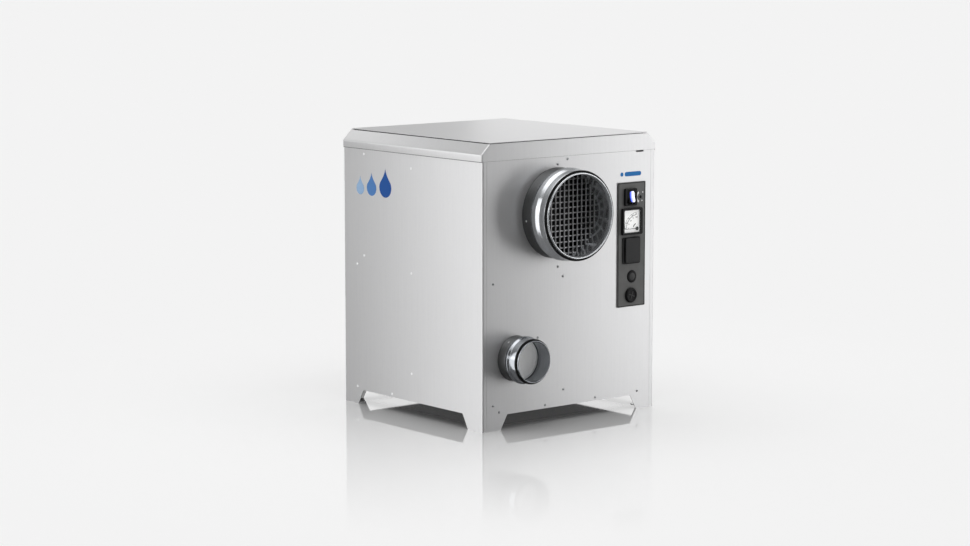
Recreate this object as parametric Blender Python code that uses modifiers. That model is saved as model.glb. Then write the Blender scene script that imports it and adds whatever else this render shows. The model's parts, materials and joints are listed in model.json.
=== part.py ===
"""A ducted desiccant air unit: a folded sheet-metal cabinet on cut-out feet, with a large
guarded air collar, a small damper collar and a control panel in front, a dry-air collar
behind, and the rotor, heater, fan and filter that work inside it.

Metres, +Z up. The origin is on the floor at the middle of the cabinet, and the front
faces -Y.
"""

import math

import bmesh
import bpy
from mathutils import Matrix, Vector

# Cabinet
WIDTH = 0.400
DEPTH = 0.400
SEAM_Z = 0.470
SHEET = 0.0012
GAP = 0.0003
BEND_RADIUS = 0.0025
RETURN_WIDTH = 0.009
SIDE_TUCK = 0.008
FOOT_WIDTH = 0.0406
FOOT_SLANT = 0.015
CUTOUT_HEIGHT = 0.0263
FOOT_PAD_DEPTH = 0.018
BASE_Z = 0.027
BASE_FLANGE = 0.015

# Lid
LIP_HEIGHT = 0.012
LIP_OVERHANG = 0.002
CHAMFER_RISE = 0.020
CHAMFER_INSET = 0.018

# Air collars: centre X and Z on the face, and the nominal radius of the duct
INLET = (-0.0315, 0.371)
OUTLET = (-0.0315, 0.371)
WET_AIR = (-0.126, 0.123)
LARGE_RADIUS = 0.0798
SMALL_RADIUS = 0.0400
LARGE_REACH = 0.063
SMALL_REACH = 0.051
GUARD_PITCH = 0.020
GUARD_BAR = 0.0025
GUARD_DEPTH = 0.018
DAMPER_DEPTH = 0.013

# Inside: walls that divide the cabinet
INNER_HALF = 0.1968
INNER_LOW = 0.0288
INNER_HIGH = 0.466
DIVIDER_X = 0.104
FRONT_BULKHEAD_Y = -0.090
REAR_BULKHEAD_Y = 0.006
FAN_PLATE_Y = 0.060
SPACERS = ((-0.175, 0.110), (-0.175, 0.390), (0.085, 0.060), (0.085, 0.390))

# Rotor and its drive
ROTOR = (-0.047, 0.245)
ROTOR_RADIUS = 0.1205
RIM_RADIUS = 0.1226
ROTOR_FRONT_Y = -0.084
ROTOR_BACK_Y = 0.0
SECTOR_INNER = 0.020
SECTOR_OUTER = 0.116
SPOKE_HALF = 0.006
AXLE_RADIUS = 0.006
HUB_RADIUS = 0.016
HUB_PROUD = 0.0045
BEARING_RADIUS = 0.0130
CORE_RECESS = 0.001
PULLEY = (0.066, 0.128)
PULLEY_RADIUS = 0.014
PULLEY_FRONT_Y = -0.036
BELT_WIDTH = 0.010
BELT_THICKNESS = 0.0014

# Fan
FAN = (-0.020, 0.322)
IMPELLER_RADIUS = 0.086
IMPELLER_EYE = 0.060
BLADE_COUNT = 7

# Control panel: centres are X and Z on the front
PANEL_CENTRE = (0.1435, 0.3016)
PANEL_SIZE = (0.066, 0.225)
PANEL_FRONT_Y = -0.2020
ROCKER = (0.1385, 0.3873)
ROCKER_BEZEL = (0.0285, 0.031)
ROCKER_FRONT_Y = -0.2065
ROCKER_AXIS_Y = -0.2030
ROCKER_TILT = math.radians(11)
METER = (0.142, 0.3436)
METER_SIDE = 0.048
METER_FRONT_Y = -0.2070
METER_PIVOT = (0.1555, 0.3297)
SOCKET = (0.142, 0.291)
SOCKET_BEZEL = (0.042, 0.048)
SOCKET_FRONT_Y = -0.2040
FLAP_HALF_WIDTH = 0.0198
FLAP_HALF_THICKNESS = 0.0013
FLAP_REACH = 0.0435
FLAP_HINGE_RISE = 0.0215
SMALL_PLUG = (0.1444, 0.2436)
LARGE_PLUG = (0.142, 0.2098)

# Electrical parts
TERMINALS = 6
TERMINAL_PITCH = 0.0125

# Sides of a turned piece
RIM_STEPS = 44
LARGE_STEPS = 32
SMALL_STEPS = 24

FRONT_FACE = -DEPTH / 2
BACK_FACE = DEPTH / 2

parts = None
cutters = None


# ---------------------------------------------------------------- materials

def material(name, colour, roughness, metallic=0.0, alpha=1.0):
    found = bpy.data.materials.get(name)
    if found:
        return found
    made = bpy.data.materials.new(name)
    made.use_nodes = True
    shader = made.node_tree.nodes["Principled BSDF"]
    shader.inputs["Base Color"].default_value = (*colour, 1.0)
    shader.inputs["Roughness"].default_value = roughness
    shader.inputs["Metallic"].default_value = metallic
    shader.inputs["Alpha"].default_value = alpha
    made.diffuse_color = (*colour, alpha)
    return made


def casing_steel():
    return material("casing_steel", (0.62, 0.63, 0.64), 0.38, 0.9)


def inner_steel():
    return material("inner_steel", (0.55, 0.56, 0.57), 0.45, 0.9)


def bright_steel():
    return material("bright_steel", (0.75, 0.76, 0.77), 0.18, 1.0)


def aluminium():
    return material("aluminium", (0.72, 0.73, 0.74), 0.35, 1.0)


def black_rubber():
    return material("black_rubber", (0.015, 0.015, 0.015), 0.6)


def black_plastic():
    return material("black_plastic", (0.02, 0.02, 0.022), 0.35)


def grey_plastic():
    return material("grey_plastic", (0.11, 0.11, 0.11), 0.5)


def blue_plastic():
    return material("blue_plastic", (0.05, 0.12, 0.7), 0.25)


def white_plastic():
    return material("white_plastic", (0.85, 0.85, 0.83), 0.4)


def clear_glass():
    return material("clear_glass", (0.9, 0.92, 0.93), 0.05, 0.0, 0.35)


def desiccant():
    return material("desiccant", (0.80, 0.78, 0.70), 0.8)


def filter_cloth():
    return material("filter_cloth", (0.05, 0.05, 0.052), 0.9)


# ---------------------------------------------------------------- making shapes

def clear_scene():
    for obj in list(bpy.data.objects):
        bpy.data.objects.remove(obj, do_unlink=True)


def add_collection(name):
    made = bpy.data.collections.new(name)
    bpy.context.scene.collection.children.link(made)
    return made


def add_object(name, data, finish):
    """A new object of the assembly, holding this mesh or curve."""
    obj = bpy.data.objects.new(name, data)
    data.materials.append(finish)
    parts.objects.link(obj)
    return obj


def make_cutter(obj):
    parts.objects.unlink(obj)
    cutters.objects.link(obj)
    obj.hide_render = True
    obj.display_type = "WIRE"
    return obj


def boolean(obj, other, operation="DIFFERENCE"):
    modifier = obj.modifiers.new(other.name, "BOOLEAN")
    modifier.operation = operation
    modifier.solver = "EXACT"
    modifier.object = other
    if not other.hide_render:
        make_cutter(other)


def smooth(obj, angle=35):
    obj.data.shade_smooth()
    obj.data.set_sharp_from_angle(angle=math.radians(angle))
    return obj


def bevel(obj, width, segments=2):
    modifier = obj.modifiers.new("edges", "BEVEL")
    modifier.width = width
    modifier.segments = segments
    modifier.limit_method = "ANGLE"
    modifier.angle_limit = math.radians(30)


def solidify(obj, thickness=SHEET):
    modifier = obj.modifiers.new("sheet", "SOLIDIFY")
    modifier.thickness = thickness
    modifier.offset = -1
    modifier.use_even_offset = True


def box(name, low, high, finish):
    """A block between two corners, with its origin at its middle."""
    low = Vector(low)
    high = Vector(high)
    shape = bmesh.new()
    bmesh.ops.create_cube(shape, size=1)
    bmesh.ops.scale(shape, vec=high - low, verts=shape.verts)
    mesh = bpy.data.meshes.new(name)
    shape.to_mesh(mesh)
    shape.free()
    obj = add_object(name, mesh, finish)
    obj.location = (low + high) / 2
    return obj


def cylinder(name, radius, start, end, finish, steps=24, axis="Y", at=(0, 0)):
    """A round bar along an axis, from start to end; at is its place across that axis."""
    shape = bmesh.new()
    bmesh.ops.create_cone(
        shape, cap_ends=True, segments=steps, radius1=radius, radius2=radius, depth=end - start
    )
    mesh = bpy.data.meshes.new(name)
    shape.to_mesh(mesh)
    shape.free()
    obj = smooth(add_object(name, mesh, finish))
    middle = (start + end) / 2
    if axis == "X":
        obj.rotation_euler = (0, math.pi / 2, 0)
        obj.location = (middle, *at)
    elif axis == "Y":
        obj.rotation_euler = (math.pi / 2, 0, 0)
        obj.location = (at[0], middle, at[1])
    else:
        obj.location = (*at, middle)
    return obj


def circle(centre, radius, steps):
    """Points around a circle."""
    turn = 2 * math.pi / steps
    return [
        (centre[0] + radius * math.cos(i * turn), centre[1] + radius * math.sin(i * turn))
        for i in range(steps)
    ]


def arc(centre, radius, start, end, steps):
    """Points along an arc between two angles, both ends included."""
    return [
        (
            centre[0] + radius * math.cos(start + (end - start) * i / steps),
            centre[1] + radius * math.sin(start + (end - start) * i / steps),
        )
        for i in range(steps + 1)
    ]


def rectangle(centre, width, height):
    half_width = width / 2
    half_height = height / 2
    return [
        (centre[0] - half_width, centre[1] - half_height),
        (centre[0] + half_width, centre[1] - half_height),
        (centre[0] + half_width, centre[1] + half_height),
        (centre[0] - half_width, centre[1] + half_height),
    ]


def plate(name, outlines, axis, start, end, finish, pivot=(0, 0)):
    """A flat outline with holes, given thickness along an axis.

    Across Y the outline's two numbers are X and Z, across X they are Y and Z, and
    across Z they are X and Y. The object's origin is at the pivot in that plane.
    """
    curve = bpy.data.curves.new(name, "CURVE")
    curve.dimensions = "2D"
    curve.fill_mode = "BOTH"
    curve.extrude = (end - start) / 2
    for outline in outlines:
        spline = curve.splines.new("POLY")
        spline.points.add(len(outline) - 1)
        for point, (u, v) in zip(spline.points, outline):
            point.co = (u - pivot[0], v - pivot[1], 0, 1)
        spline.use_cyclic_u = True
    obj = add_object(name, curve, finish)
    middle = (start + end) / 2
    if axis == "X":
        turn = Matrix(((0, 0, 1), (1, 0, 0), (0, 1, 0))).to_4x4()
        obj.matrix_world = Matrix.Translation((middle, *pivot)) @ turn
    elif axis == "Y":
        place = Matrix.Translation((pivot[0], middle, pivot[1]))
        obj.matrix_world = place @ Matrix.Rotation(math.pi / 2, 4, "X")
    else:
        obj.location = (*pivot, middle)
    return obj


def as_mesh(curve_object):
    """The same plate as a mesh object, so that it can be cut or joined."""
    bpy.context.view_layer.update()
    graph = bpy.context.evaluated_depsgraph_get()
    mesh = bpy.data.meshes.new_from_object(curve_object.evaluated_get(graph))
    shape = bmesh.new()
    shape.from_mesh(mesh)
    bmesh.ops.remove_doubles(shape, verts=shape.verts, dist=1e-6)
    bmesh.ops.recalc_face_normals(shape, faces=shape.faces)
    shape.to_mesh(mesh)
    shape.free()
    name = curve_object.name
    place = curve_object.matrix_world.copy()
    bpy.data.objects.remove(curve_object, do_unlink=True)
    obj = bpy.data.objects.new(name, mesh)
    parts.objects.link(obj)
    obj.name = name
    obj.matrix_world = place
    return obj


def turned(name, profile, finish, at, facing=-1, steps=LARGE_STEPS):
    """A closed ring turned from (radius, distance out) points about a line along Y.

    at is (X, Y, Z) of the line's zero. The profile runs from its outermost end down
    its outer side and back up its inner side; facing -1 turns it to the front.
    """
    mesh = bpy.data.meshes.new(name)
    loop = range(len(profile))
    mesh.from_pydata(
        [(radius, 0, out) for radius, out in profile],
        [(i, (i + 1) % len(profile)) for i in loop],
        [],
    )
    obj = add_object(name, mesh, finish)
    screw = obj.modifiers.new("turn", "SCREW")
    screw.steps = steps
    screw.render_steps = steps
    screw.use_merge_vertices = True
    screw.merge_threshold = 1e-5
    screw.use_smooth_shade = True
    obj.rotation_euler = (-facing * math.pi / 2, 0, 0)
    obj.location = at
    return obj


def spun_solid(name, profile, finish, at, facing=-1, steps=24):
    """A solid turned from an open profile whose two ends lie on the axis."""
    obj = turned(name, profile, finish, at, facing, steps)
    shape = bmesh.new()
    shape.from_mesh(obj.data)
    ends = [edge for edge in shape.edges if all(v.co.x == 0 for v in edge.verts)]
    bmesh.ops.delete(shape, geom=ends, context="EDGES")
    shape.to_mesh(obj.data)
    shape.free()
    return obj


# ---------------------------------------------------------------- cabinet

def foot_cutout():
    """The trapezoid under one side, between its two feet."""
    half = WIDTH / 2 - FOOT_WIDTH
    below = -0.005
    spread = FOOT_SLANT / CUTOUT_HEIGHT * -below
    return [
        (-half - spread, below),
        (half + spread, below),
        (half - FOOT_SLANT, CUTOUT_HEIGHT),
        (-half + FOOT_SLANT, CUTOUT_HEIGHT),
    ]


def side_panel(name, side):
    """A folded side sheet: it turns onto the front and the back, and its feet turn in."""
    outer = side * WIDTH / 2
    inner = side * (WIDTH / 2 - RETURN_WIDTH)
    top = SEAM_Z + SIDE_TUCK
    corners = [(inner, FRONT_FACE), (outer, FRONT_FACE), (outer, BACK_FACE), (inner, BACK_FACE)]
    shape = bmesh.new()
    low = [shape.verts.new((x, y, 0)) for x, y in corners]
    edges = [shape.edges.new(pair) for pair in zip(low, low[1:])]
    grown = bmesh.ops.extrude_edge_only(shape, edges=edges)
    raised = [item for item in grown["geom"] if isinstance(item, bmesh.types.BMVert)]
    bmesh.ops.translate(shape, verts=raised, vec=(0, 0, top))
    shape.normal_update()
    if sum(face.normal.x * face.calc_area() for face in shape.faces) * side < 0:
        bmesh.ops.reverse_faces(shape, faces=shape.faces)
    mesh = bpy.data.meshes.new(name)
    shape.to_mesh(mesh)
    shape.free()
    obj = add_object(name, mesh, casing_steel())
    bevel(obj, BEND_RADIUS, 3)
    solidify(obj)
    start, end = sorted((outer - side * 0.004, outer + side * 0.004))
    boolean(obj, as_mesh(plate(name + "_cutout", [foot_cutout()], "X", start, end, casing_steel())))
    for facing in (-1, 1):
        boolean(obj, return_trim(f"{name}_trim_{facing}", side, facing))
        boolean(obj, foot_pad(f"{name}_pad_{facing}", side, facing), "UNION")
    return obj


def return_trim(name, side, facing):
    """Cuts a return down to the lid's seam, in front or behind."""
    sheet_side = SHEET + GAP
    across = sorted((side * (WIDTH / 2 - RETURN_WIDTH - 0.010), side * (WIDTH / 2 + 0.010)))
    along = sorted((facing * (DEPTH / 2 - sheet_side), facing * (DEPTH / 2 + 0.004)))
    low = (across[0], along[0], SEAM_Z - GAP)
    high = (across[1], along[1], SEAM_Z + SIDE_TUCK + 0.010)
    return box(name, low, high, casing_steel())


def foot_pad(name, side, facing):
    """The plate turned in under one foot, which the cabinet stands on."""
    across = sorted((side * (WIDTH / 2 - SHEET / 2), side * (WIDTH / 2 - FOOT_PAD_DEPTH)))
    along = sorted((facing * (DEPTH / 2 - 0.0016), facing * (DEPTH / 2 - FOOT_WIDTH + 0.001)))
    return box(name, (across[0], along[0], 0), (across[1], along[1], SHEET), casing_steel())


def face_outline():
    """The front or back sheet's edge, between the side returns, with its feet."""
    half = WIDTH / 2 - RETURN_WIDTH - GAP
    foot = WIDTH / 2 - FOOT_WIDTH
    top = SEAM_Z - GAP
    return [
        (-half, 0),
        (-foot, 0),
        (-foot + FOOT_SLANT, CUTOUT_HEIGHT),
        (foot - FOOT_SLANT, CUTOUT_HEIGHT),
        (foot, 0),
        (half, 0),
        (half, top),
        (-half, top),
    ]


def front_panel():
    opening = rectangle(PANEL_CENTRE, PANEL_SIZE[0] - 0.010, PANEL_SIZE[1] - 0.010)
    outlines = [
        face_outline(),
        circle(INLET, LARGE_RADIUS + GAP, LARGE_STEPS),
        circle(WET_AIR, SMALL_RADIUS + GAP, SMALL_STEPS),
        opening,
    ]
    return plate("front_panel", outlines, "Y", FRONT_FACE, FRONT_FACE + SHEET, casing_steel())


def back_panel():
    outlines = [face_outline(), circle(OUTLET, LARGE_RADIUS + GAP, LARGE_STEPS)]
    return plate("back_panel", outlines, "Y", BACK_FACE - SHEET, BACK_FACE, casing_steel())


def base_pan():
    """The cabinet's floor, a tray with its edges turned up."""
    half = INNER_HALF + 0.0015
    pan = box("base_pan", (-half, -half, BASE_Z), (half, half, BASE_Z + BASE_FLANGE), inner_steel())
    shape = bmesh.new()
    shape.from_mesh(pan.data)
    shape.faces.ensure_lookup_table()
    lids = [face for face in shape.faces if face.normal.z > 0.5]
    bmesh.ops.delete(shape, geom=lids, context="FACES")
    shape.to_mesh(pan.data)
    shape.free()
    solidify(pan)
    return pan


def lid():
    """The top cover: a lip, a chamfer on each side, a flat top, and flanges front and back."""
    lip_x = WIDTH / 2 + LIP_OVERHANG
    flat_x = WIDTH / 2 - CHAMFER_INSET
    lip_top = SEAM_Z + LIP_HEIGHT
    top = lip_top + CHAMFER_RISE
    profile = [
        (-lip_x, SEAM_Z),
        (-lip_x, lip_top),
        (-flat_x, top),
        (flat_x, top),
        (lip_x, lip_top),
        (lip_x, SEAM_Z),
    ]
    shape = bmesh.new()
    rim = [shape.verts.new((x, FRONT_FACE, z)) for x, z in profile]
    front = shape.faces.new(rim)
    grown = bmesh.ops.extrude_face_region(shape, geom=[front], use_keep_orig=True)
    moved = [item for item in grown["geom"] if isinstance(item, bmesh.types.BMVert)]
    bmesh.ops.translate(shape, verts=moved, vec=(0, DEPTH, 0))
    bmesh.ops.recalc_face_normals(shape, faces=shape.faces)
    under = [face for face in shape.faces if face.normal.z < -0.5]
    bmesh.ops.delete(shape, geom=under, context="FACES")
    mesh = bpy.data.meshes.new("lid")
    shape.to_mesh(mesh)
    shape.free()
    cover = add_object("lid", mesh, casing_steel())
    bevel(cover, 0.0010, 2)
    solidify(cover)
    return cover


# ---------------------------------------------------------------- air collars

def collar_sleeve(name, centre, radius, reach, facing):
    """The plain tube fixed behind the sheet by its flange, out of which a spigot comes."""
    wall = 0.0010 if radius > 0.06 else 0.0008
    flange = radius + 0.012
    profile = [
        (radius, reach),
        (radius, -SHEET - GAP),
        (flange, -SHEET - GAP),
        (flange, -2 * SHEET - GAP),
        (radius - wall, -2 * SHEET - GAP),
        (radius - wall, reach),
    ]
    steps = LARGE_STEPS if radius > 0.06 else SMALL_STEPS
    at = (centre[0], facing * DEPTH / 2, centre[1])
    return turned(name, profile, bright_steel(), at, facing, steps)


def large_spigot(name, centre, facing):
    """The duct spigot: a neck in the sleeve, a stop bead, a seal groove and a rolled rim."""
    reach = LARGE_REACH
    profile = [
        (0.0756, reach),
        (0.0776, reach),
        (0.0784, reach - 0.0012),
        (0.0786, reach - 0.0040),
        (0.0774, reach - 0.0046),
        (0.0774, reach - 0.0090),
        (0.0788, reach - 0.0095),
        (0.0790, 0.0360),
        (0.0820, 0.0325),
        (0.0820, 0.0290),
        (0.0785, 0.0260),
        (0.0785, 0.0020),
        (0.0777, 0.0020),
        (0.0777, 0.0270),
        (0.0811, 0.0298),
        (0.0780, 0.0350),
        (0.0766, reach - 0.0095),
        (0.0766, reach - 0.0030),
        (0.0738, reach - 0.0040),
        (0.0730, reach - 0.0015),
    ]
    return turned(name, profile, bright_steel(), (centre[0], facing * DEPTH / 2, centre[1]), facing)


def small_spigot(name, centre, facing):
    reach = SMALL_REACH
    profile = [
        (0.0372, reach),
        (0.0383, reach),
        (0.0387, reach - 0.0008),
        (0.0387, reach - 0.0035),
        (0.0379, reach - 0.0040),
        (0.0379, reach - 0.0078),
        (0.0390, reach - 0.0083),
        (0.0391, 0.0290),
        (0.0420, 0.0265),
        (0.0420, 0.0240),
        (0.0389, 0.0215),
        (0.0389, 0.0015),
        (0.0382, 0.0015),
        (0.0382, 0.0225),
        (0.0412, 0.0250),
        (0.0382, 0.0285),
        (0.0372, reach - 0.0083),
    ]
    at = (centre[0], facing * DEPTH / 2, centre[1])
    return turned(name, profile, bright_steel(), at, facing, SMALL_STEPS)


def lip_seal(name, centre, groove_radius, out, facing, steps):
    """The rubber ring in a spigot's groove."""
    profile = [
        (groove_radius + GAP, out + 0.0020),
        (groove_radius + 0.0022, out + 0.0016),
        (groove_radius + 0.0027, out + 0.0002),
        (groove_radius + 0.0016, out - 0.0018),
        (groove_radius + GAP, out - 0.0020),
    ]
    at = (centre[0], facing * DEPTH / 2, centre[1])
    return turned(name, profile, black_rubber(), at, facing, steps)


def guard_holes(radius):
    """The square meshes of the finger guard that fit whole inside its round edge."""
    side = GUARD_PITCH - GUARD_BAR
    count = int(radius / GUARD_PITCH) + 1
    holes = []
    for column in range(-count, count + 1):
        for row in range(-count, count + 1):
            middle = Vector((column * GUARD_PITCH, row * GUARD_PITCH))
            corner = Vector((abs(middle.x) + side / 2, abs(middle.y) + side / 2))
            if corner.length < radius:
                holes.append(rectangle((INLET[0] + middle.x, INLET[1] + middle.y), side, side))
    return holes


def inlet_guard():
    radius = 0.0773
    outlines = [circle(INLET, radius, LARGE_STEPS), *guard_holes(radius - 0.002)]
    y = FRONT_FACE - GUARD_DEPTH
    return plate("inlet_guard", outlines, "Y", y - 0.001, y + 0.001, inner_steel())


def large_collar(prefix, centre, facing):
    collar_sleeve(prefix + "_sleeve", centre, LARGE_RADIUS, 0.022, facing)
    large_spigot(prefix + "_spigot", centre, facing)
    lip_seal(prefix + "_seal", centre, 0.0774, LARGE_REACH - 0.0068, facing, LARGE_STEPS)


def wet_air_collar():
    """The small collar, whose damper blade turns on a spindle across it."""
    sleeve = collar_sleeve("wet_air_sleeve", WET_AIR, SMALL_RADIUS, 0.019, -1)
    spigot = small_spigot("wet_air_spigot", WET_AIR, -1)
    lip_seal("wet_air_seal", WET_AIR, 0.0379, SMALL_REACH - 0.0059, -1, SMALL_STEPS)
    y = FRONT_FACE - DAMPER_DEPTH
    middle = WET_AIR[0]
    across = (y, WET_AIR[1])
    holes = cylinder(
        "spindle_holes", 0.0028, middle - 0.0391, middle + 0.050, bright_steel(), 12, "X", across
    )
    boolean(spigot, holes)
    boolean(sleeve, holes)
    blade = cylinder(
        "damper_blade", 0.0370, y - 0.0008, y + 0.0008, inner_steel(), SMALL_STEPS, "Y", WET_AIR
    )
    spindle = cylinder(
        "damper_spindle", 0.0024, middle - 0.0387, middle + 0.0460, inner_steel(), 12, "X", across
    )
    boolean(blade, spindle, "UNION")
    damper_lever(middle, y)


def damper_lever(middle, y):
    """The flat lever clamped on the spindle's outer end, in line with the blade."""
    width = 0.008
    length = 0.022
    eye = (y, WET_AIR[1])
    outline = [(y + width / 2, WET_AIR[1] + length), (y - width / 2, WET_AIR[1] + length)]
    outline += arc(eye, width / 2 + 0.001, math.pi, 2 * math.pi, 8)
    hole = circle(eye, 0.0024 + GAP, 12)
    start = middle + 0.0425
    plate("damper_lever", [outline, hole], "X", start, start + 0.0025, inner_steel(), eye)


# ---------------------------------------------------------------- inner walls

def sector(start, end, inner=SECTOR_INNER, outer=SECTOR_OUTER, steps=18):
    """A pie-shaped opening over the rotor, kept clear of the spokes along its two sides."""
    outer_margin = math.asin(SPOKE_HALF / outer)
    inner_margin = math.asin(SPOKE_HALF / inner)
    outline = arc(ROTOR, outer, start + outer_margin, end - outer_margin, steps)
    outline += arc(ROTOR, inner, end - inner_margin, start + inner_margin, max(3, steps // 3))
    return outline


def process_sector():
    return sector(-math.pi / 2, math.pi, steps=24)


def reactivation_sector():
    return sector(math.pi, 1.5 * math.pi, steps=9)


def bulkhead_edge():
    middle = ((DIVIDER_X - GAP - INNER_HALF) / 2, (INNER_LOW + INNER_HIGH) / 2)
    return rectangle(middle, DIVIDER_X - GAP + INNER_HALF, INNER_HIGH - INNER_LOW)


def divider_plate():
    """The wall between the air side and the electrical side, with a cable hole."""
    edge = rectangle((0, (INNER_LOW + INNER_HIGH) / 2), 2 * INNER_HALF, INNER_HIGH - INNER_LOW)
    hole = circle((0.150, 0.080), 0.010, 16)
    return plate("divider_plate", [edge, hole], "X", DIVIDER_X, DIVIDER_X + SHEET, inner_steel())


def rotor_bulkheads():
    """The two walls of the rotor cassette; spacers on the rear one hold them apart."""
    axle = circle(ROTOR, AXLE_RADIUS + GAP, 16)
    shaft = circle(PULLEY, 0.0046, 12)
    openings = [process_sector(), reactivation_sector(), axle]
    front = [bulkhead_edge(), *openings, shaft]
    plate("front_bulkhead", front, "Y", FRONT_BULKHEAD_Y - SHEET, FRONT_BULKHEAD_Y, inner_steel())
    back = REAR_BULKHEAD_Y + SHEET
    rear = [bulkhead_edge(), *openings]
    rear = as_mesh(plate("rear_bulkhead", rear, "Y", REAR_BULKHEAD_Y, back, inner_steel()))
    start = FRONT_BULKHEAD_Y + GAP
    end = REAR_BULKHEAD_Y + SHEET / 2
    for number, place in enumerate(SPACERS):
        name = f"spacer_{number}"
        boolean(rear, cylinder(name, 0.005, start, end, inner_steel(), 10, "Y", place), "UNION")


def fan_plate():
    outlines = [
        bulkhead_edge(),
        circle(FAN, 0.0640, LARGE_STEPS),
        rectangle((-0.1125, 0.180), 0.100, 0.105),
    ]
    return plate("fan_plate", outlines, "Y", FAN_PLATE_Y, FAN_PLATE_Y + SHEET, inner_steel())


def open_box(name, low, high, open_sides, finish):
    """A sheet box with some of its sides left out, each named as 'x+', 'y-' and so on."""
    obj = box(name, low, high, finish)
    shape = bmesh.new()
    shape.from_mesh(obj.data)
    gone = []
    for face in shape.faces:
        for side in open_sides:
            towards = Vector([float(side[0] == letter) for letter in "xyz"])
            if side[1] == "-":
                towards.negate()
            if face.normal.dot(towards) > 0.5:
                gone.append(face)
    bmesh.ops.delete(shape, geom=gone, context="FACES")
    shape.to_mesh(obj.data)
    shape.free()
    solidify(obj)
    return obj


def wet_air_hood():
    """The duct from the rotor's small sector to the small collar."""
    front = FRONT_FACE + 0.0035
    hood = open_box(
        "wet_air_hood",
        (-0.173, front, 0.078),
        (-0.050, FRONT_BULKHEAD_Y - SHEET - GAP, 0.242),
        ["y+"],
        inner_steel(),
    )
    hole = cylinder(
        "hood_hole", 0.0395, front - 0.005, front + 0.005, inner_steel(), SMALL_STEPS, "Y", WET_AIR
    )
    boolean(hood, hole)
    back = FRONT_BULKHEAD_Y - SHEET
    notch = cylinder("hood_notch", 0.0108, back - 0.0055, back + 0.001, inner_steel(), 16, "Y", ROTOR)
    boolean(hood, notch)


def filter_parts():
    """The filter in its housing behind the inlet. The top is open, so it lifts out."""
    front = FRONT_FACE + 0.0035
    half_width = 0.100
    low = (INLET[0] - half_width, front, INLET[1] - 0.096)
    high = (INLET[0] + half_width, -0.120, INLET[1] + 0.094)
    housing = open_box("filter_housing", low, high, ["y+", "z+"], inner_steel())
    hole = cylinder(
        "housing_hole", 0.0785, front - 0.005, front + 0.005, inner_steel(), LARGE_STEPS, "Y", INLET
    )
    boolean(housing, hole)
    middle = (INLET[0], INLET[1] - 0.001)
    outer = rectangle(middle, 0.196, 0.186)
    inner = rectangle(middle, 0.176, 0.166)
    plate("filter_frame", [outer, inner], "Y", -0.146, -0.124, black_plastic())
    filter_media(middle)


def filter_media(middle):
    """Pleated cloth: one zigzag, seen from above."""
    pleats = 22
    width = 0.1752
    cloth = 0.0008
    front = -0.1440
    back = -0.1265
    step = width / pleats
    left = middle[0] - width / 2
    zigzag = [(left + i * step, front if i % 2 else back) for i in range(pleats + 1)]
    outline = zigzag + [(x, y + cloth * 3) for x, y in reversed(zigzag)]
    height = 0.1650
    low = middle[1] - height / 2
    return plate("filter_media", [outline], "Z", low, low + height, filter_cloth())


# ---------------------------------------------------------------- rotor

def rotor_wheel():
    middle = (ROTOR[0], 0, ROTOR[1])
    front = ROTOR_FRONT_Y - HUB_PROUD
    back = ROTOR_BACK_Y + HUB_PROUD
    core_front = ROTOR_FRONT_Y + CORE_RECESS
    core_back = ROTOR_BACK_Y - CORE_RECESS
    rings = [
        ("rotor_core", HUB_RADIUS + GAP, ROTOR_RADIUS, core_front, core_back, desiccant()),
        ("rotor_rim", ROTOR_RADIUS + GAP, RIM_RADIUS, ROTOR_FRONT_Y, ROTOR_BACK_Y, inner_steel()),
        ("rotor_hub", BEARING_RADIUS + GAP, HUB_RADIUS, front, back, aluminium()),
        ("rotor_bearing_front", AXLE_RADIUS + GAP, BEARING_RADIUS, front, front + 0.009, bright_steel()),
        ("rotor_bearing_rear", AXLE_RADIUS + GAP, BEARING_RADIUS, back - 0.009, back, bright_steel()),
    ]
    for name, inner, outer, start, end, finish in rings:
        steps = RIM_STEPS if outer > HUB_RADIUS else SMALL_STEPS
        profile = [(outer, end), (outer, start), (inner, start), (inner, end)]
        turned(name, profile, finish, middle, 1, steps)


def rotor_axle():
    """The fixed axle: it is held in the two bulkheads by a head on each end."""
    head = 0.010
    front = FRONT_BULKHEAD_Y - SHEET - GAP
    rear = REAR_BULKHEAD_Y + SHEET + GAP
    profile = [
        (0, rear + 0.004),
        (head, rear + 0.004),
        (head, rear),
        (AXLE_RADIUS, rear),
        (AXLE_RADIUS, front),
        (head, front),
        (head, front - 0.004),
        (0, front - 0.004),
    ]
    return spun_solid("rotor_axle", profile, bright_steel(), (ROTOR[0], 0, ROTOR[1]), 1, 16)


def rotor_seals():
    """A rubber gasket on each bulkhead that wipes the wheel's rim and its sectors."""
    outlines = [
        circle(ROTOR, RIM_RADIUS - 0.0002, RIM_STEPS),
        sector(-math.pi / 2, math.pi, 0.0215, 0.1165, 24),
        sector(math.pi, 1.5 * math.pi, 0.0215, 0.1165, 9),
        circle(ROTOR, HUB_RADIUS + 0.0015, 24),
    ]
    gaps = [
        ("front_rotor_seal", FRONT_BULKHEAD_Y + GAP, ROTOR_FRONT_Y - GAP),
        ("rear_rotor_seal", ROTOR_BACK_Y + GAP, REAR_BULKHEAD_Y - GAP),
    ]
    for name, start, end in gaps:
        plate(name, outlines, "Y", start, end, black_rubber())


def belt_loop(wheel_radius, pulley_radius):
    """A taut loop round the wheel and the pulley: two arcs, joined by their straight runs."""
    line = Vector(PULLEY) - Vector(ROTOR)
    heading = math.atan2(line.y, line.x)
    lean = math.acos((wheel_radius - pulley_radius) / line.length)
    around_wheel = arc(ROTOR, wheel_radius, heading + lean, heading + 2 * math.pi - lean, 40)
    around_pulley = arc(PULLEY, pulley_radius, heading - lean, heading + lean, 8)
    return around_wheel + around_pulley


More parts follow.
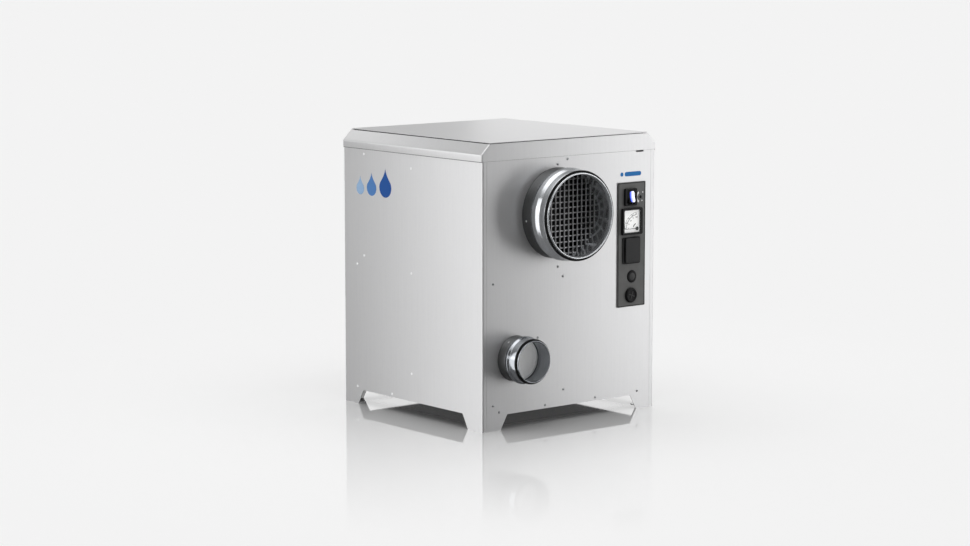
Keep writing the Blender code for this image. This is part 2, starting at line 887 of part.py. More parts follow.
def rotor_drive():
    belt_start = PULLEY_FRONT_Y + 0.003
    inner = belt_loop(RIM_RADIUS + GAP, PULLEY_RADIUS + GAP)
    outer = belt_loop(RIM_RADIUS + GAP + BELT_THICKNESS, PULLEY_RADIUS + GAP + BELT_THICKNESS)
    plate("drive_belt", [outer, inner], "Y", belt_start, belt_start + BELT_WIDTH, black_rubber())
    flange = 0.0175
    back = belt_start + BELT_WIDTH + 0.003
    shaft_end = FRONT_BULKHEAD_Y - SHEET - 0.010
    profile = [
        (0, back),
        (flange, back),
        (flange, back - 0.002),
        (PULLEY_RADIUS, back - 0.002),
        (PULLEY_RADIUS, PULLEY_FRONT_Y + 0.002),
        (flange, PULLEY_FRONT_Y + 0.002),
        (flange, PULLEY_FRONT_Y),
        (0.004, PULLEY_FRONT_Y),
        (0.004, shaft_end),
        (0, shaft_end),
    ]
    spun_solid("drive_pulley", profile, black_plastic(), (PULLEY[0], 0, PULLEY[1]), 1, 20)
    gear_motor()


def gear_motor():
    half = 0.026
    back = FRONT_BULKHEAD_Y - SHEET - GAP
    low = (PULLEY[0] - half, back - 0.022, PULLEY[1] - half)
    high = (PULLEY[0] + half, back, PULLEY[1] + half)
    motor = box("gear_motor", low, high, inner_steel())
    can = cylinder(
        "motor_can", 0.022, back - 0.058, back - 0.021, inner_steel(), 20, "Y", PULLEY
    )
    boolean(motor, can, "UNION")
    bore = cylinder("motor_bore", 0.0043, back - 0.014, back + 0.001, inner_steel(), 12, "Y", PULLEY)
    boolean(motor, bore)


# ---------------------------------------------------------------- fan and heater

def fan_inlet_ring():
    """The bell mouth in the fan plate that leads air into the impeller's eye."""
    profile = [
        (0.0562, 0.0230),
        (0.0570, 0.0100),
        (0.0636, 0.0012),
        (0.0636, -GAP),
        (0.0760, -GAP),
        (0.0760, -0.0015),
        (0.0620, -0.0015),
        (0.0556, 0.0090),
        (0.0548, 0.0230),
    ]
    at = (FAN[0], FAN_PLATE_Y, FAN[1])
    return turned("fan_inlet_ring", profile, aluminium(), at, 1, LARGE_STEPS)


def blade_outline():
    """One backward-curved blade: an arc of even thickness from the eye to the edge."""
    inner = Vector((0.049, 0.0))
    outer = Vector((IMPELLER_RADIUS - 0.002, 0.0))
    outer.rotate(Matrix.Rotation(math.radians(-38), 2))
    chord = outer - inner
    side = Vector((-chord.y, chord.x)).normalized()
    bow = 0.010
    middle = [
        inner + chord * t + side * bow * 4 * t * (1 - t)
        for t in (0.0, 0.2, 0.4, 0.6, 0.8, 1.0)
    ]
    half = side * 0.0009
    outward = [tuple(point + half) for point in middle]
    return outward + [tuple(point - half) for point in reversed(middle)]


def fan_impeller():
    """Shroud, blades and back plate in one piece, round an outer-rotor motor."""
    y = FAN_PLATE_Y + 0.0205
    at = (FAN[0], y, FAN[1])
    back = 0.0405
    bore = 0.0065
    back_ring = [
        (IMPELLER_RADIUS, back + 0.002),
        (IMPELLER_RADIUS, back),
        (bore, back),
        (bore, back + 0.002),
    ]
    impeller = turned("fan_impeller", back_ring, aluminium(), at, 1, LARGE_STEPS)
    shroud_ring = [
        (IMPELLER_RADIUS, 0.0055),
        (IMPELLER_RADIUS, 0.004),
        (IMPELLER_EYE, 0),
        (IMPELLER_EYE, 0.0015),
    ]
    shroud = turned("shroud", shroud_ring, aluminium(), at, 1, LARGE_STEPS)
    blade = blade_outline()
    for number in range(BLADE_COUNT):
        turn = Matrix.Rotation(2 * math.pi * number / BLADE_COUNT, 2)
        outline = [tuple(turn @ Vector(point)) for point in blade]
        name = f"blade_{number}"
        piece = as_mesh(plate(name, [outline], "Y", y + 0.0035, y + back + 0.001, aluminium()))
        piece.matrix_world = Matrix.Translation((FAN[0], 0, FAN[1])) @ piece.matrix_world
        boolean(impeller, piece, "UNION")
    boolean(impeller, shroud, "UNION")


def fan_motor():
    front = FAN_PLATE_Y + 0.034
    plane = FAN_PLATE_Y + 0.0205 + 0.0405 - GAP
    rotor_ring = [(0.044, plane), (0.044, front), (0.0054, front), (0.0054, plane)]
    middle = (FAN[0], 0, FAN[1])
    turned("fan_motor_rotor", rotor_ring, inner_steel(), middle, 1, 28)
    back = plane + 0.0030
    stator = [
        (0, 0.1497),
        (0.036, 0.1497),
        (0.036, back),
        (0.005, back),
        (0.005, front + 0.004),
        (0, front + 0.004),
    ]
    spun_solid("fan_motor_stator", stator, black_plastic(), middle, 1, 24)
    fan_bracket()


def fan_bracket():
    """A strap bent to a U, which carries the fan motor behind the fan plate."""
    front = FAN_PLATE_Y + SHEET + GAP
    half = 0.100
    strap = 0.003
    foot = 0.012
    right_side = [
        (half + foot, front),
        (half + foot, front + strap),
        (half, front + strap),
        (half, 0.153),
    ]
    under = [(half - strap, 0.150), (half - strap, front)]
    outline = [(FAN[0] + x, y) for x, y in right_side]
    outline += [(FAN[0] - x, y) for x, y in reversed(right_side)]
    outline += [(FAN[0] - x, y) for x, y in reversed(under)]
    outline += [(FAN[0] + x, y) for x, y in under]
    return plate("fan_bracket", [outline], "Z", FAN[1] - 0.015, FAN[1] + 0.015, inner_steel())


def heater_parts():
    """The duct that leads fan air back through the rotor's small sector, and its heater."""
    start = REAR_BULKHEAD_Y + SHEET + GAP
    end = FAN_PLATE_Y - GAP
    middle = (-0.1125, 0.180)
    outer = rectangle(middle, 0.108, 0.112)
    inner = rectangle(middle, 0.108 - 2 * SHEET, 0.112 - 2 * SHEET)
    plate("heater_duct", [outer, inner], "Y", start, end, inner_steel())
    fins = 11
    pitch = 0.0094
    left = middle[0] - pitch * (fins - 0.5) / 2
    low = middle[1] - 0.040
    bar = low + 0.008
    high = middle[1] + 0.040
    outline = [(left, low)]
    for number in range(fins):
        x = left + number * pitch
        outline += [(x, high), (x + pitch / 2, high)]
        if number < fins - 1:
            outline += [(x + pitch / 2, bar), (x + pitch, bar)]
    outline.append((left + pitch * (fins - 0.5), low))
    plate("heater_element", [outline], "Y", 0.022, 0.046, aluminium())
    top = middle[1] + 0.056 + GAP
    at = (middle[0], 0.034)
    cylinder("overheat_thermostat", 0.009, top, top + 0.007, black_plastic(), 16, "Z", at)


# ---------------------------------------------------------------- control panel

def control_plate():
    outlines = [
        rectangle(PANEL_CENTRE, *PANEL_SIZE),
        rectangle(ROCKER, 0.0236, 0.0276),
        rectangle(METER, 0.0446, 0.0446),
        circle(SOCKET, 0.0203, 24),
        circle(SMALL_PLUG, 0.0090, 16),
        circle(LARGE_PLUG, 0.0110, 16),
    ]
    return plate("control_plate", outlines, "Y", PANEL_FRONT_Y, FRONT_FACE - GAP, grey_plastic())


def rocker_switch():
    """A framed rocker that tips between two positions on a level axis."""
    rim = PANEL_FRONT_Y - GAP
    bezel = rectangle(ROCKER, *ROCKER_BEZEL)
    frame = as_mesh(plate("rocker_frame", [bezel], "Y", ROCKER_FRONT_Y, rim, black_plastic()))
    body = box(
        "rocker_body",
        (ROCKER[0] - 0.0115, rim - 0.001, ROCKER[1] - 0.0135),
        (ROCKER[0] + 0.0115, -0.176, ROCKER[1] + 0.0135),
        black_plastic(),
    )
    pocket = box(
        "rocker_pocket",
        (ROCKER[0] - 0.0088, ROCKER_FRONT_Y - 0.001, ROCKER[1] - 0.0127),
        (ROCKER[0] + 0.0088, -0.1925, ROCKER[1] + 0.0127),
        black_plastic(),
    )
    boolean(frame, body, "UNION")
    boolean(frame, pocket)
    half = 0.0112
    outline = [
        (-half, 0.0060),
        (-half, 0.0010),
        (-0.004, -0.0045),
        (0.004, -0.0045),
        (half, 0.0010),
        (half, 0.0060),
        (0, 0.0036),
    ]
    sides = [[(-out, up) for up, out in outline]]
    button = plate("rocker_button", sides, "X", -0.0082, 0.0082, blue_plastic())
    button.matrix_world = (
        Matrix.Translation((ROCKER[0], ROCKER_AXIS_Y, ROCKER[1]))
        @ Matrix.Rotation(-ROCKER_TILT, 4, "X")
        @ button.matrix_world
    )


def panel_meter():
    """A square moving-iron meter: case, scale, needle and window."""
    rim = PANEL_FRONT_Y - GAP
    front = METER_FRONT_Y
    bezel = rectangle(METER, METER_SIDE, METER_SIDE)
    case = as_mesh(plate("meter_case", [bezel], "Y", front, rim, black_plastic()))
    body = box(
        "meter_body",
        (METER[0] - 0.0220, rim - 0.0005, METER[1] - 0.0220),
        (METER[0] + 0.0220, -0.155, METER[1] + 0.0220),
        black_plastic(),
    )
    recess = box(
        "meter_recess",
        (METER[0] - 0.0210, front - 0.001, METER[1] - 0.0210),
        (METER[0] + 0.0210, -0.2012, METER[1] + 0.0210),
        black_plastic(),
    )
    boolean(case, body, "UNION")
    boolean(case, recess)
    face = rectangle(METER, 0.0414, 0.0414)
    plate("meter_dial", [face], "Y", -0.2023, -0.2015, white_plastic())
    plate("meter_window", [face], "Y", -0.2064, -0.2055, clear_glass())
    needle = [
        (METER_PIVOT[0] - 0.030, METER_PIVOT[1] + 0.0003),
        (METER_PIVOT[0] - 0.030, METER_PIVOT[1] - 0.0003),
    ]
    needle += [(METER_PIVOT[0] - 0.0034, METER_PIVOT[1] - 0.0006)]
    needle += arc(METER_PIVOT, 0.0034, math.radians(195), math.radians(525), 12)
    needle += [(METER_PIVOT[0] - 0.0034, METER_PIVOT[1] + 0.0006)]
    plate("meter_pointer", [needle], "Y", -0.2040, -0.2032, black_plastic(), METER_PIVOT)


def service_socket():
    """A flush socket behind a spring flap that is hinged along its top."""
    rim = PANEL_FRONT_Y - GAP
    front = SOCKET_FRONT_Y
    bezel = rectangle(SOCKET, *SOCKET_BEZEL)
    frame = as_mesh(plate("socket_frame", [bezel], "Y", front, rim, black_plastic()))
    body = cylinder("socket_body", 0.0200, rim - 0.001, -0.172, black_plastic(), 24, "Y", SOCKET)
    well = cylinder("socket_well", 0.0180, front - 0.001, -0.184, black_plastic(), 24, "Y", SOCKET)
    boolean(frame, body, "UNION")
    boolean(frame, well)
    radius = FLAP_HALF_THICKNESS
    outline = arc((0, 0), radius, 0, math.pi, 6)
    outline += [(-radius, -FLAP_REACH), (radius, -FLAP_REACH)]
    half = FLAP_HALF_WIDTH
    flap = plate("socket_flap", [outline], "X", -half, half, black_plastic())
    hinge = (SOCKET[0], front - GAP - radius, SOCKET[1] + FLAP_HINGE_RISE)
    flap.matrix_world = Matrix.Translation(hinge) @ flap.matrix_world


def hole_plugs():
    """The two snap-in plugs that close the unused cable entries."""
    rim = PANEL_FRONT_Y - GAP
    small = [
        (0, 0.0012),
        (0.0100, 0.0012),
        (0.0113, 0),
        (0.0087, 0),
        (0.0087, -0.008),
        (0, -0.008),
    ]
    spun_solid("small_hole_plug", small, black_plastic(), (SMALL_PLUG[0], rim, SMALL_PLUG[1]), -1, 24)
    large = [
        (0, 0.0030),
        (0.0094, 0.0030),
        (0.0096, 0.0040),
        (0.0122, 0.0040),
        (0.0138, 0.0022),
        (0.0138, 0),
        (0.0107, 0),
        (0.0107, -0.010),
        (0, -0.010),
    ]
    spun_solid("large_hole_plug", large, black_plastic(), (LARGE_PLUG[0], rim, LARGE_PLUG[1]), -1, 24)


def electrical_parts():
    """What stands on the divider behind the control panel."""
    wall = DIVIDER_X + SHEET + GAP
    hat = [
        (wall, 0.123),
        (wall + 0.001, 0.123),
        (wall + 0.001, 0.1295),
        (wall + 0.0065, 0.1295),
        (wall + 0.0065, 0.123),
        (wall + 0.0075, 0.123),
        (wall + 0.0075, 0.1305),
        (wall + 0.002, 0.1305),
        (wall + 0.002, 0.1495),
        (wall + 0.0075, 0.1495),
        (wall + 0.0075, 0.157),
        (wall + 0.0065, 0.157),
        (wall + 0.0065, 0.1505),
        (wall + 0.001, 0.1505),
        (wall + 0.001, 0.157),
        (wall, 0.157),
    ]
    plate("din_rail", [hat], "Y", -0.080, 0.110, inner_steel())
    near = wall + 0.0078
    high = (near + 0.062, -0.025, 0.177)
    contactor = box("contactor", (near, -0.070, 0.103), high, grey_plastic())
    step_high = (near + 0.070, -0.015, 0.185)
    step = box("contactor_step", (near + 0.040, -0.080, 0.155), step_high, grey_plastic())
    boolean(contactor, step)
    high = (near + 0.036, 0.075, 0.162)
    blocks = box("terminal_block", (near, -0.005, 0.118), high, white_plastic())
    for number in range(TERMINALS):
        y = 0.003 + number * TERMINAL_PITCH
        slot_low = (near + 0.030, y, 0.128)
        slot_high = (near + 0.040, y + 0.007, 0.152)
        boolean(blocks, box(f"terminal_{number}", slot_low, slot_high, white_plastic()))


# ---------------------------------------------------------------- the whole unit

def main():
    global parts, cutters
    clear_scene()
    parts = add_collection("ducted_air_unit")
    cutters = add_collection("cutters")
    base_pan()
    side_panel("left_side_panel", -1)
    side_panel("right_side_panel", 1)
    front_panel()
    back_panel()
    lid()
    large_collar("inlet", INLET, -1)
    inlet_guard()
    wet_air_collar()
    large_collar("outlet", OUTLET, 1)
    divider_plate()
    rotor_bulkheads()
    fan_plate()
    wet_air_hood()
    filter_parts()
    rotor_wheel()
    rotor_axle()
    rotor_seals()
    rotor_drive()
    fan_inlet_ring()
    fan_impeller()
    fan_motor()
    heater_parts()
    control_plate()
    rocker_switch()
    panel_meter()
    service_socket()
    hole_plugs()
    electrical_parts()
    cutters.hide_render = True


main()
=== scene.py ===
"""The looks of a ducted air unit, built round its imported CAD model: a folded galvanised
cabinet on cut-out feet, its duct collars, guard and damper, and its control strip.

Metres, in the CAD model's frame: +Z up, and the front faces -Y.
"""

import json
import math

import bmesh
import bpy
from mathutils import Matrix, Vector

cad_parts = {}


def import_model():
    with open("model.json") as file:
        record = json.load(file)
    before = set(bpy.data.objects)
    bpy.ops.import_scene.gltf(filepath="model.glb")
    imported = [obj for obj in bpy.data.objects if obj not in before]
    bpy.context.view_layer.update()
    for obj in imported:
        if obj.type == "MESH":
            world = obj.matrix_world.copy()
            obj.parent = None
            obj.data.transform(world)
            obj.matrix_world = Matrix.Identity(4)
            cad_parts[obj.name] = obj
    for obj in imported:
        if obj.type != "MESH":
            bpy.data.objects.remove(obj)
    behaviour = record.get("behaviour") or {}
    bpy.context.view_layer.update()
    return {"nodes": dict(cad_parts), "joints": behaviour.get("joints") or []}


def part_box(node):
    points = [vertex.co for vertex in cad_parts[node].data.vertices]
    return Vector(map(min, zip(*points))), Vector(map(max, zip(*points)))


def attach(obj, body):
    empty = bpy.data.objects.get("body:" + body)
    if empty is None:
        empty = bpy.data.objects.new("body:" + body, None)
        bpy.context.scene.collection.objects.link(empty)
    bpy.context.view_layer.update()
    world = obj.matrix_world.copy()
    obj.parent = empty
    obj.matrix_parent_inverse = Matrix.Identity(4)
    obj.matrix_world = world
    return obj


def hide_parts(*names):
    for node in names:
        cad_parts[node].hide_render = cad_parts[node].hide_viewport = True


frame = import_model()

NODES = frame["nodes"]

# Sheet metal
SHEET = 0.0012
GAP = 0.0003
BEND_RADIUS = 0.0025
RETURN_WIDTH = 0.009
FOOT_WIDTH = 0.0406
FOOT_SLANT = 0.015
CUTOUT_HEIGHT = 0.0263
FOOT_PAD_DEPTH = 0.018
FOOT_CORNER = 0.0015
SHEET_EDGE = 0.00025

# Places that the CAD model gives
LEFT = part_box("left_side_panel")[0].x
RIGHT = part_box("right_side_panel")[1].x
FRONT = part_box("front_panel")[0].y
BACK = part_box("back_panel")[1].y
SIDE_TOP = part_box("left_side_panel")[1].z
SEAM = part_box("lid")[0].z
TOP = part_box("lid")[1].z
LIP_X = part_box("lid")[1].x


def middle_of(node):
    low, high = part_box(node)
    return (low + high) / 2


def centre_xz(node):
    middle = middle_of(node)
    return middle.x, middle.z


def face_of(node):
    """The middle, width and height of a node's box, as seen from the front."""
    low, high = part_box(node)
    return ((low.x + high.x) / 2, (low.z + high.z) / 2), high.x - low.x, high.z - low.z


def joint_named(name):
    return next(joint for joint in frame["joints"] if joint["name"] == name)


INLET = centre_xz("inlet_sleeve")
OUTLET = centre_xz("outlet_sleeve")
WET_AIR = centre_xz("wet_air_sleeve")
LARGE_RADIUS = 0.0798
SMALL_RADIUS = 0.0400
LARGE_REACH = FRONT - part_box("inlet_spigot")[0].y
SMALL_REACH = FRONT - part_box("wet_air_spigot")[0].y
PLATE_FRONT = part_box("control_plate")[0].y

ROUND = 128


# ---------------------------------------------------------------- materials

def connect(tree, made, values):
    """Sets a node's inputs: a socket is linked, and anything else is a plain value."""
    for name, value in values.items():
        if isinstance(value, bpy.types.NodeSocket):
            tree.links.new(value, made.inputs[name])
        else:
            made.inputs[name].default_value = value


def with_settings(thing, **settings):
    for name, value in settings.items():
        setattr(thing, name, value)
    return thing


def new_node(tree, kind, values, **settings):
    """A new shader node with its settings and its inputs."""
    made = with_settings(tree.nodes.new("ShaderNode" + kind), **settings)
    connect(tree, made, values)
    return made


def maths(tree, operation, *values, kind="Math"):
    """One step of arithmetic on numbers, or on vectors where kind is VectorMath."""
    return new_node(tree, kind, dict(enumerate(values)), operation=operation).outputs[0]


def map_range(tree, value, low, high, to_low=0.0, to_high=1.0):
    ends = {"From Min": low, "From Max": high, "To Min": to_low, "To Max": to_high}
    return new_node(tree, "MapRange", {**ends, "Value": value}).outputs["Result"]


def new_material(name):
    """A material, its node tree and its Principled shader."""
    made = bpy.data.materials.new(name)
    made.use_nodes = True
    return made, made.node_tree, made.node_tree.nodes["Principled BSDF"]


def coordinates(tree, stretch=(1, 1, 1)):
    """Object coordinates, squeezed along each axis by these factors."""
    source = new_node(tree, "TexCoord", {})
    mapping = new_node(tree, "Mapping", {"Scale": stretch, "Vector": source.outputs["Object"]})
    return mapping.outputs["Vector"]


def noise(tree, scale, detail=2.0, stretch=(1, 1, 1)):
    values = {"Scale": scale, "Detail": detail, "Vector": coordinates(tree, stretch)}
    return new_node(tree, "TexNoise", values).outputs["Fac"]


def cells(tree, scale, output="Color"):
    values = {"Scale": scale, "Vector": coordinates(tree)}
    return new_node(tree, "TexVoronoi", values).outputs[output]


def levels(tree, value, stops):
    """Colours or greys by value, from (place, colour) stops; a number stands for a grey."""
    made = new_node(tree, "ValToRGB", {"Fac": value})
    elements = made.color_ramp.elements
    while len(elements) < len(stops):
        elements.new(0.5)
    for element, (place, colour) in zip(elements, stops):
        element.position = place
        element.color = (*colour, 1) if isinstance(colour, tuple) else (colour, colour, colour, 1)
    return made.outputs["Color"]


def ramp(tree, value, low, high, start=0.0, end=1.0):
    return levels(tree, value, ((start, low), (end, high)))


def mixed(tree, first, second, share, blend="MIX"):
    made = new_node(tree, "Mix", {"Factor": share}, data_type="RGBA", blend_type=blend)
    tree.links.new(first, made.inputs[6])
    tree.links.new(second, made.inputs[7])
    return made.outputs[2]


def bump(tree, height, strength, distance, under=None):
    values = {"Strength": strength, "Distance": distance, "Height": height}
    if under is not None:
        values["Normal"] = under
    return new_node(tree, "Bump", values).outputs["Normal"]


def shade(colour, factor):
    return tuple(channel * factor for channel in colour)


def sheet_steel(name, colour, roughness, spread=0.03, metallic=1.0):
    """Galvanised sheet: faint spangle, rolling streaks along Z and a slightly wavy face."""
    made, tree, shader = new_material(name)
    streaks = noise(tree, 6.0, 3.0, (60, 60, 1.2))
    base = ramp(tree, streaks, shade(colour, 1 - spread), shade(colour, 1 + spread), 0.3, 0.7)
    spangle = new_node(tree, "RGBToBW", {"Color": cells(tree, 260.0)})
    flecks = ramp(tree, spangle.outputs["Val"], 1 - spread, 1.0)
    fine = noise(tree, 900.0, 3.0, (1, 1, 0.25))
    waves = bump(tree, noise(tree, 7.0, 1.0), 0.25, 0.0006)
    connect(tree, shader, {
        "Metallic": metallic,
        "Base Color": mixed(tree, base, flecks, 1.0, "MULTIPLY"),
        "Roughness": ramp(tree, fine, roughness - 0.03, roughness + 0.03, 0.25, 0.75),
        "Normal": bump(tree, fine, 0.05, 0.0002, waves),
    })
    return made


def spun_steel(name, colour, roughness, metallic=1.0):
    """Bright sheet formed on rollers: fine rings round the axis, which runs along Y."""
    made, tree, shader = new_material(name)
    rings = noise(tree, 40.0, 3.0, (1, 18, 1))
    smears = noise(tree, 55.0, 2.0)
    connect(tree, shader, {
        "Metallic": metallic,
        "Base Color": ramp(tree, smears, shade(colour, 0.93), colour, 0.35, 0.65),
        "Roughness": ramp(tree, rings, roughness - 0.04, roughness + 0.06, 0.3, 0.7),
        "Normal": bump(tree, rings, 0.12, 0.0002),
    })
    return made


def moulded(name, colour, roughness, grain=1400.0, depth=0.15, shine=0.5):
    """Plastic with a fine moulded grain."""
    made, tree, shader = new_material(name)
    texture = noise(tree, grain, 4.0)
    blotches = noise(tree, 40.0, 2.0)
    connect(tree, shader, {
        "Base Color": ramp(tree, blotches, shade(colour, 0.9), shade(colour, 1.1), 0.3, 0.7),
        "Roughness": ramp(tree, texture, roughness - 0.06, roughness + 0.08, 0.3, 0.7),
        "Specular IOR Level": shine,
        "Normal": bump(tree, texture, depth, 0.0002),
    })
    return made


def rubber(name):
    made, tree, shader = new_material(name)
    dust = noise(tree, 220.0, 4.0)
    connect(tree, shader, {
        "Base Color": ramp(tree, dust, 0.004, 0.010, 0.35, 0.7),
        "Roughness": ramp(tree, dust, 0.42, 0.6, 0.3, 0.7),
        "Specular IOR Level": 0.12,
        "Normal": bump(tree, noise(tree, 700.0, 3.0), 0.2, 0.0002),
    })
    return made


def cloth(name):
    """Filter cloth: matted fibres, near black as painted shade for the dark inside behind the
    inlet guard.
    """
    made, tree, shader = new_material(name)
    fibres = noise(tree, 900.0, 5.0, (1, 1, 0.2))
    connect(tree, shader, {
        "Base Color": ramp(tree, fibres, 0.03, 0.075, 0.3, 0.7),
        "Roughness": ramp(tree, fibres, 0.85, 1.0),
        "Normal": bump(tree, fibres, 0.6, 0.0006),
    })
    return made


def honeycomb(name):
    """The rotor's end face: rows of fine corrugated channels."""
    made, tree, shader = new_material(name)
    channels = cells(tree, 420.0, "Distance")
    connect(tree, shader, {
        "Base Color": ramp(tree, channels, (0.80, 0.78, 0.70), (0.16, 0.15, 0.13), 0.2, 0.5),
        "Roughness": ramp(tree, noise(tree, 90.0), 0.75, 0.95),
        "Normal": bump(tree, channels, 0.8, 0.001),
    })
    return made


def lit_lens(name, low, high, dark, bright):
    """A translucent lens lit from within: the glow rises from one side to the other, up to a near
    white that is a painted highlight.
    """
    made, tree, shader = new_material(name)
    across = new_node(tree, "SeparateXYZ", {"Vector": coordinates(tree)})
    place = map_range(tree, across.outputs["X"], low, high)
    clouds = noise(tree, 160.0, 2.0)
    glow = maths(tree, "MULTIPLY_ADD", clouds, 0.25, place)
    colour = ramp(tree, glow, dark, bright, 0.35, 0.85)
    connect(tree, shader, {
        "Base Color": colour,
        "Emission Color": colour,
        "Emission Strength": 0.75,
        "Roughness": ramp(tree, clouds, 0.12, 0.2),
    })
    return made


def window_glass(name):
    made, tree, shader = new_material(name)
    connect(tree, shader, {
        "Base Color": ramp(tree, noise(tree, 20.0), (0.90, 0.92, 0.93), (0.97, 0.98, 0.98)),
        "Roughness": ramp(tree, noise(tree, 60.0), 0.03, 0.07),
        "Alpha": 0.03,
        "Specular IOR Level": 0.5,
    })
    return made


def ink(name, colour, glow=0.0):
    """Printed film, with the little unevenness of a screen print; glow makes the film shine, which
    is painted light.
    """
    made, tree, shader = new_material(name)
    grain = noise(tree, 500.0, 3.0)
    connect(tree, shader, {
        "Base Color": ramp(tree, grain, shade(colour, 0.93), shade(colour, 1.04), 0.3, 0.7),
        "Roughness": ramp(tree, grain, 0.40, 0.53),
        "Specular IOR Level": 0.15,
        "Emission Color": (1, 1, 1, 1),
        "Emission Strength": glow,
    })
    return made


CASING = sheet_steel("casing_sheet", (0.66, 0.66, 0.665), 0.37, 0.014, metallic=0.8)
INNER = sheet_steel("inner_sheet", (0.50, 0.51, 0.52), 0.42, 0.06)
SLEEVE = sheet_steel("sleeve_sheet", (0.22, 0.224, 0.228), 0.30, 0.06)
DISC = sheet_steel("damper_sheet", (0.93, 0.93, 0.925), 0.45, metallic=0.1)
SPIGOT = spun_steel("spigot_steel", (0.72, 0.74, 0.765), 0.13, metallic=0.86)
SMALL_SPIGOT = spun_steel("small_spigot_steel", (0.47, 0.49, 0.52), 0.13, metallic=0.92)
WIRE = spun_steel("guard_wire", (0.64, 0.64, 0.65), 0.45)
RIVET = spun_steel("rivet_steel", (0.55, 0.56, 0.57), 0.28)
# Painted highlight: a much lighter copy of the rivet steel for the side rivets, for the light they
# catch there
SIDE_RIVET = spun_steel("side_rivet_painted_bright_steel", (0.90, 0.90, 0.91), 0.42)
BRIGHT = spun_steel("bright_steel", (0.75, 0.76, 0.77), 0.22)
ALUMINIUM = spun_steel("mill_aluminium", (0.72, 0.73, 0.74), 0.36)
SEAL = rubber("seal_rubber")
BLACK = moulded("black_plastic", (0.006, 0.006, 0.0065), 0.30, shine=0.12)
SATIN_BLACK = moulded("satin_black_plastic", (0.013, 0.013, 0.0135), 0.45, shine=0.28)
PLUG_GREY = moulded("plug_grey_plastic", (0.035, 0.035, 0.035), 0.5, shine=0.3)
PLATE = moulded("plate_plastic", (0.092, 0.092, 0.090), 0.55, 900.0, 0.3)
GREY = moulded("grey_plastic", (0.11, 0.11, 0.11), 0.5)
WHITE = moulded("white_plastic", (0.80, 0.80, 0.78), 0.4)
# Painted shade: the base pan is near black, though it is galvanised sheet, so that the polished
# floor under the unit mirrors a dark contact shadow
PAN_PAINTED_SHADE = moulded("base_pan_painted_shade", (0.022, 0.022, 0.024), 0.62, 900.0, 0.25, 0.25)
# Painted shade: a dark grey for the curb in the gap under the lid's top sheet
GAP_PAINTED_SHADE = moulded("lid_gap_painted_shade", (0.12, 0.12, 0.12), 0.7)
# Painted shade: a mid grey for the strips that stand for the shadow line under the lid's lip
LIP_SHADE_GREY = moulded("lid_lip_painted_shade", (0.20, 0.20, 0.20), 0.6, shine=0.3)
# The dial card's glow is painted light: the meter has no lamp, and the glow brightens the card in
# the shade of its bezel.
DIAL = ink("dial_card", (0.93, 0.93, 0.92), glow=0.22)
INK_BLACK = ink("black_print", (0.02, 0.02, 0.02))
INK_GREY = ink("grey_print", (0.16, 0.16, 0.16))
INK_WHITE = ink("white_print", (0.78, 0.78, 0.78))
DEEP_BLUE = ink("deep_blue_film", (0.006, 0.055, 0.22))
MID_BLUE = ink("mid_blue_film", (0.05, 0.14, 0.33))
PALE_BLUE = ink("pale_blue_film", (0.20, 0.30, 0.44))
BAR_BLUE = ink("bar_blue_film", (0.015, 0.16, 0.44))
GLASS = window_glass("window_glass")
HONEYCOMB = honeycomb("rotor_honeycomb")
# The filter cloth's near black is painted shade behind the inlet guard.
CLOTH = cloth("filter_cloth")
ROCKER_X = middle_of("rocker_button").x
GLOW_LOW = (0.02, 0.07, 0.75)
# The lens glows blue from its lamp; its near-white end is a painted highlight.
GLOW_PAINTED_HIGHLIGHT = (0.80, 0.82, 0.95)
LENS = lit_lens(
    "rocker_lens_glow_and_painted_highlight", ROCKER_X - 0.0052, ROCKER_X + 0.0056, GLOW_LOW, GLOW_PAINTED_HIGHLIGHT
)


# ---------------------------------------------------------------- making shapes

def in_scene(name, data):
    """A new object for a mesh, curve, camera or lamp."""
    obj = bpy.data.objects.new(name, data)
    bpy.context.scene.collection.objects.link(obj)
    return obj


def from_bmesh(name, shape):
    mesh = bpy.data.meshes.new(name)
    shape.to_mesh(mesh)
    shape.free()
    return in_scene(name, mesh)


def applied(obj):
    """Replaces an object's mesh by what its modifiers make of it."""
    bpy.context.view_layer.update()
    graph = bpy.context.evaluated_depsgraph_get()
    mesh = bpy.data.meshes.new_from_object(obj.evaluated_get(graph), depsgraph=graph)
    mesh.name = obj.name
    obj.modifiers.clear()
    obj.data = mesh
    return obj


def modify(obj, kind, **settings):
    with_settings(obj.modifiers.new(kind, kind), **settings)


def bevel(obj, width, segments, angle):
    limit = math.radians(angle)
    modify(obj, "BEVEL", width=width, segments=segments, limit_method="ANGLE", angle_limit=limit)


def softened(obj, width, segments=2, angle=40):
    """Rounds an object's sharp edges, and keeps its flat faces flat to the light."""
    if width:
        bevel(obj, width, segments, angle)
    obj.data.shade_smooth()
    modify(obj, "WEIGHTED_NORMAL", keep_sharp=True, weight=100)
    return applied(obj)


def smoothed(obj, sharp=35):
    """Smooth shading, but for edges that turn by more than this angle."""
    obj.data.shade_smooth()
    obj.data.set_sharp_from_angle(angle=math.radians(sharp))
    return obj


def placed(obj, finish, body="root", replaces=()):
    """Gives a piece its material, its body and the CAD nodes it stands for."""
    obj.data.materials.clear()
    obj.data.materials.append(finish)
    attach(obj, body)
    if replaces:
        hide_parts(*replaces)
    return obj


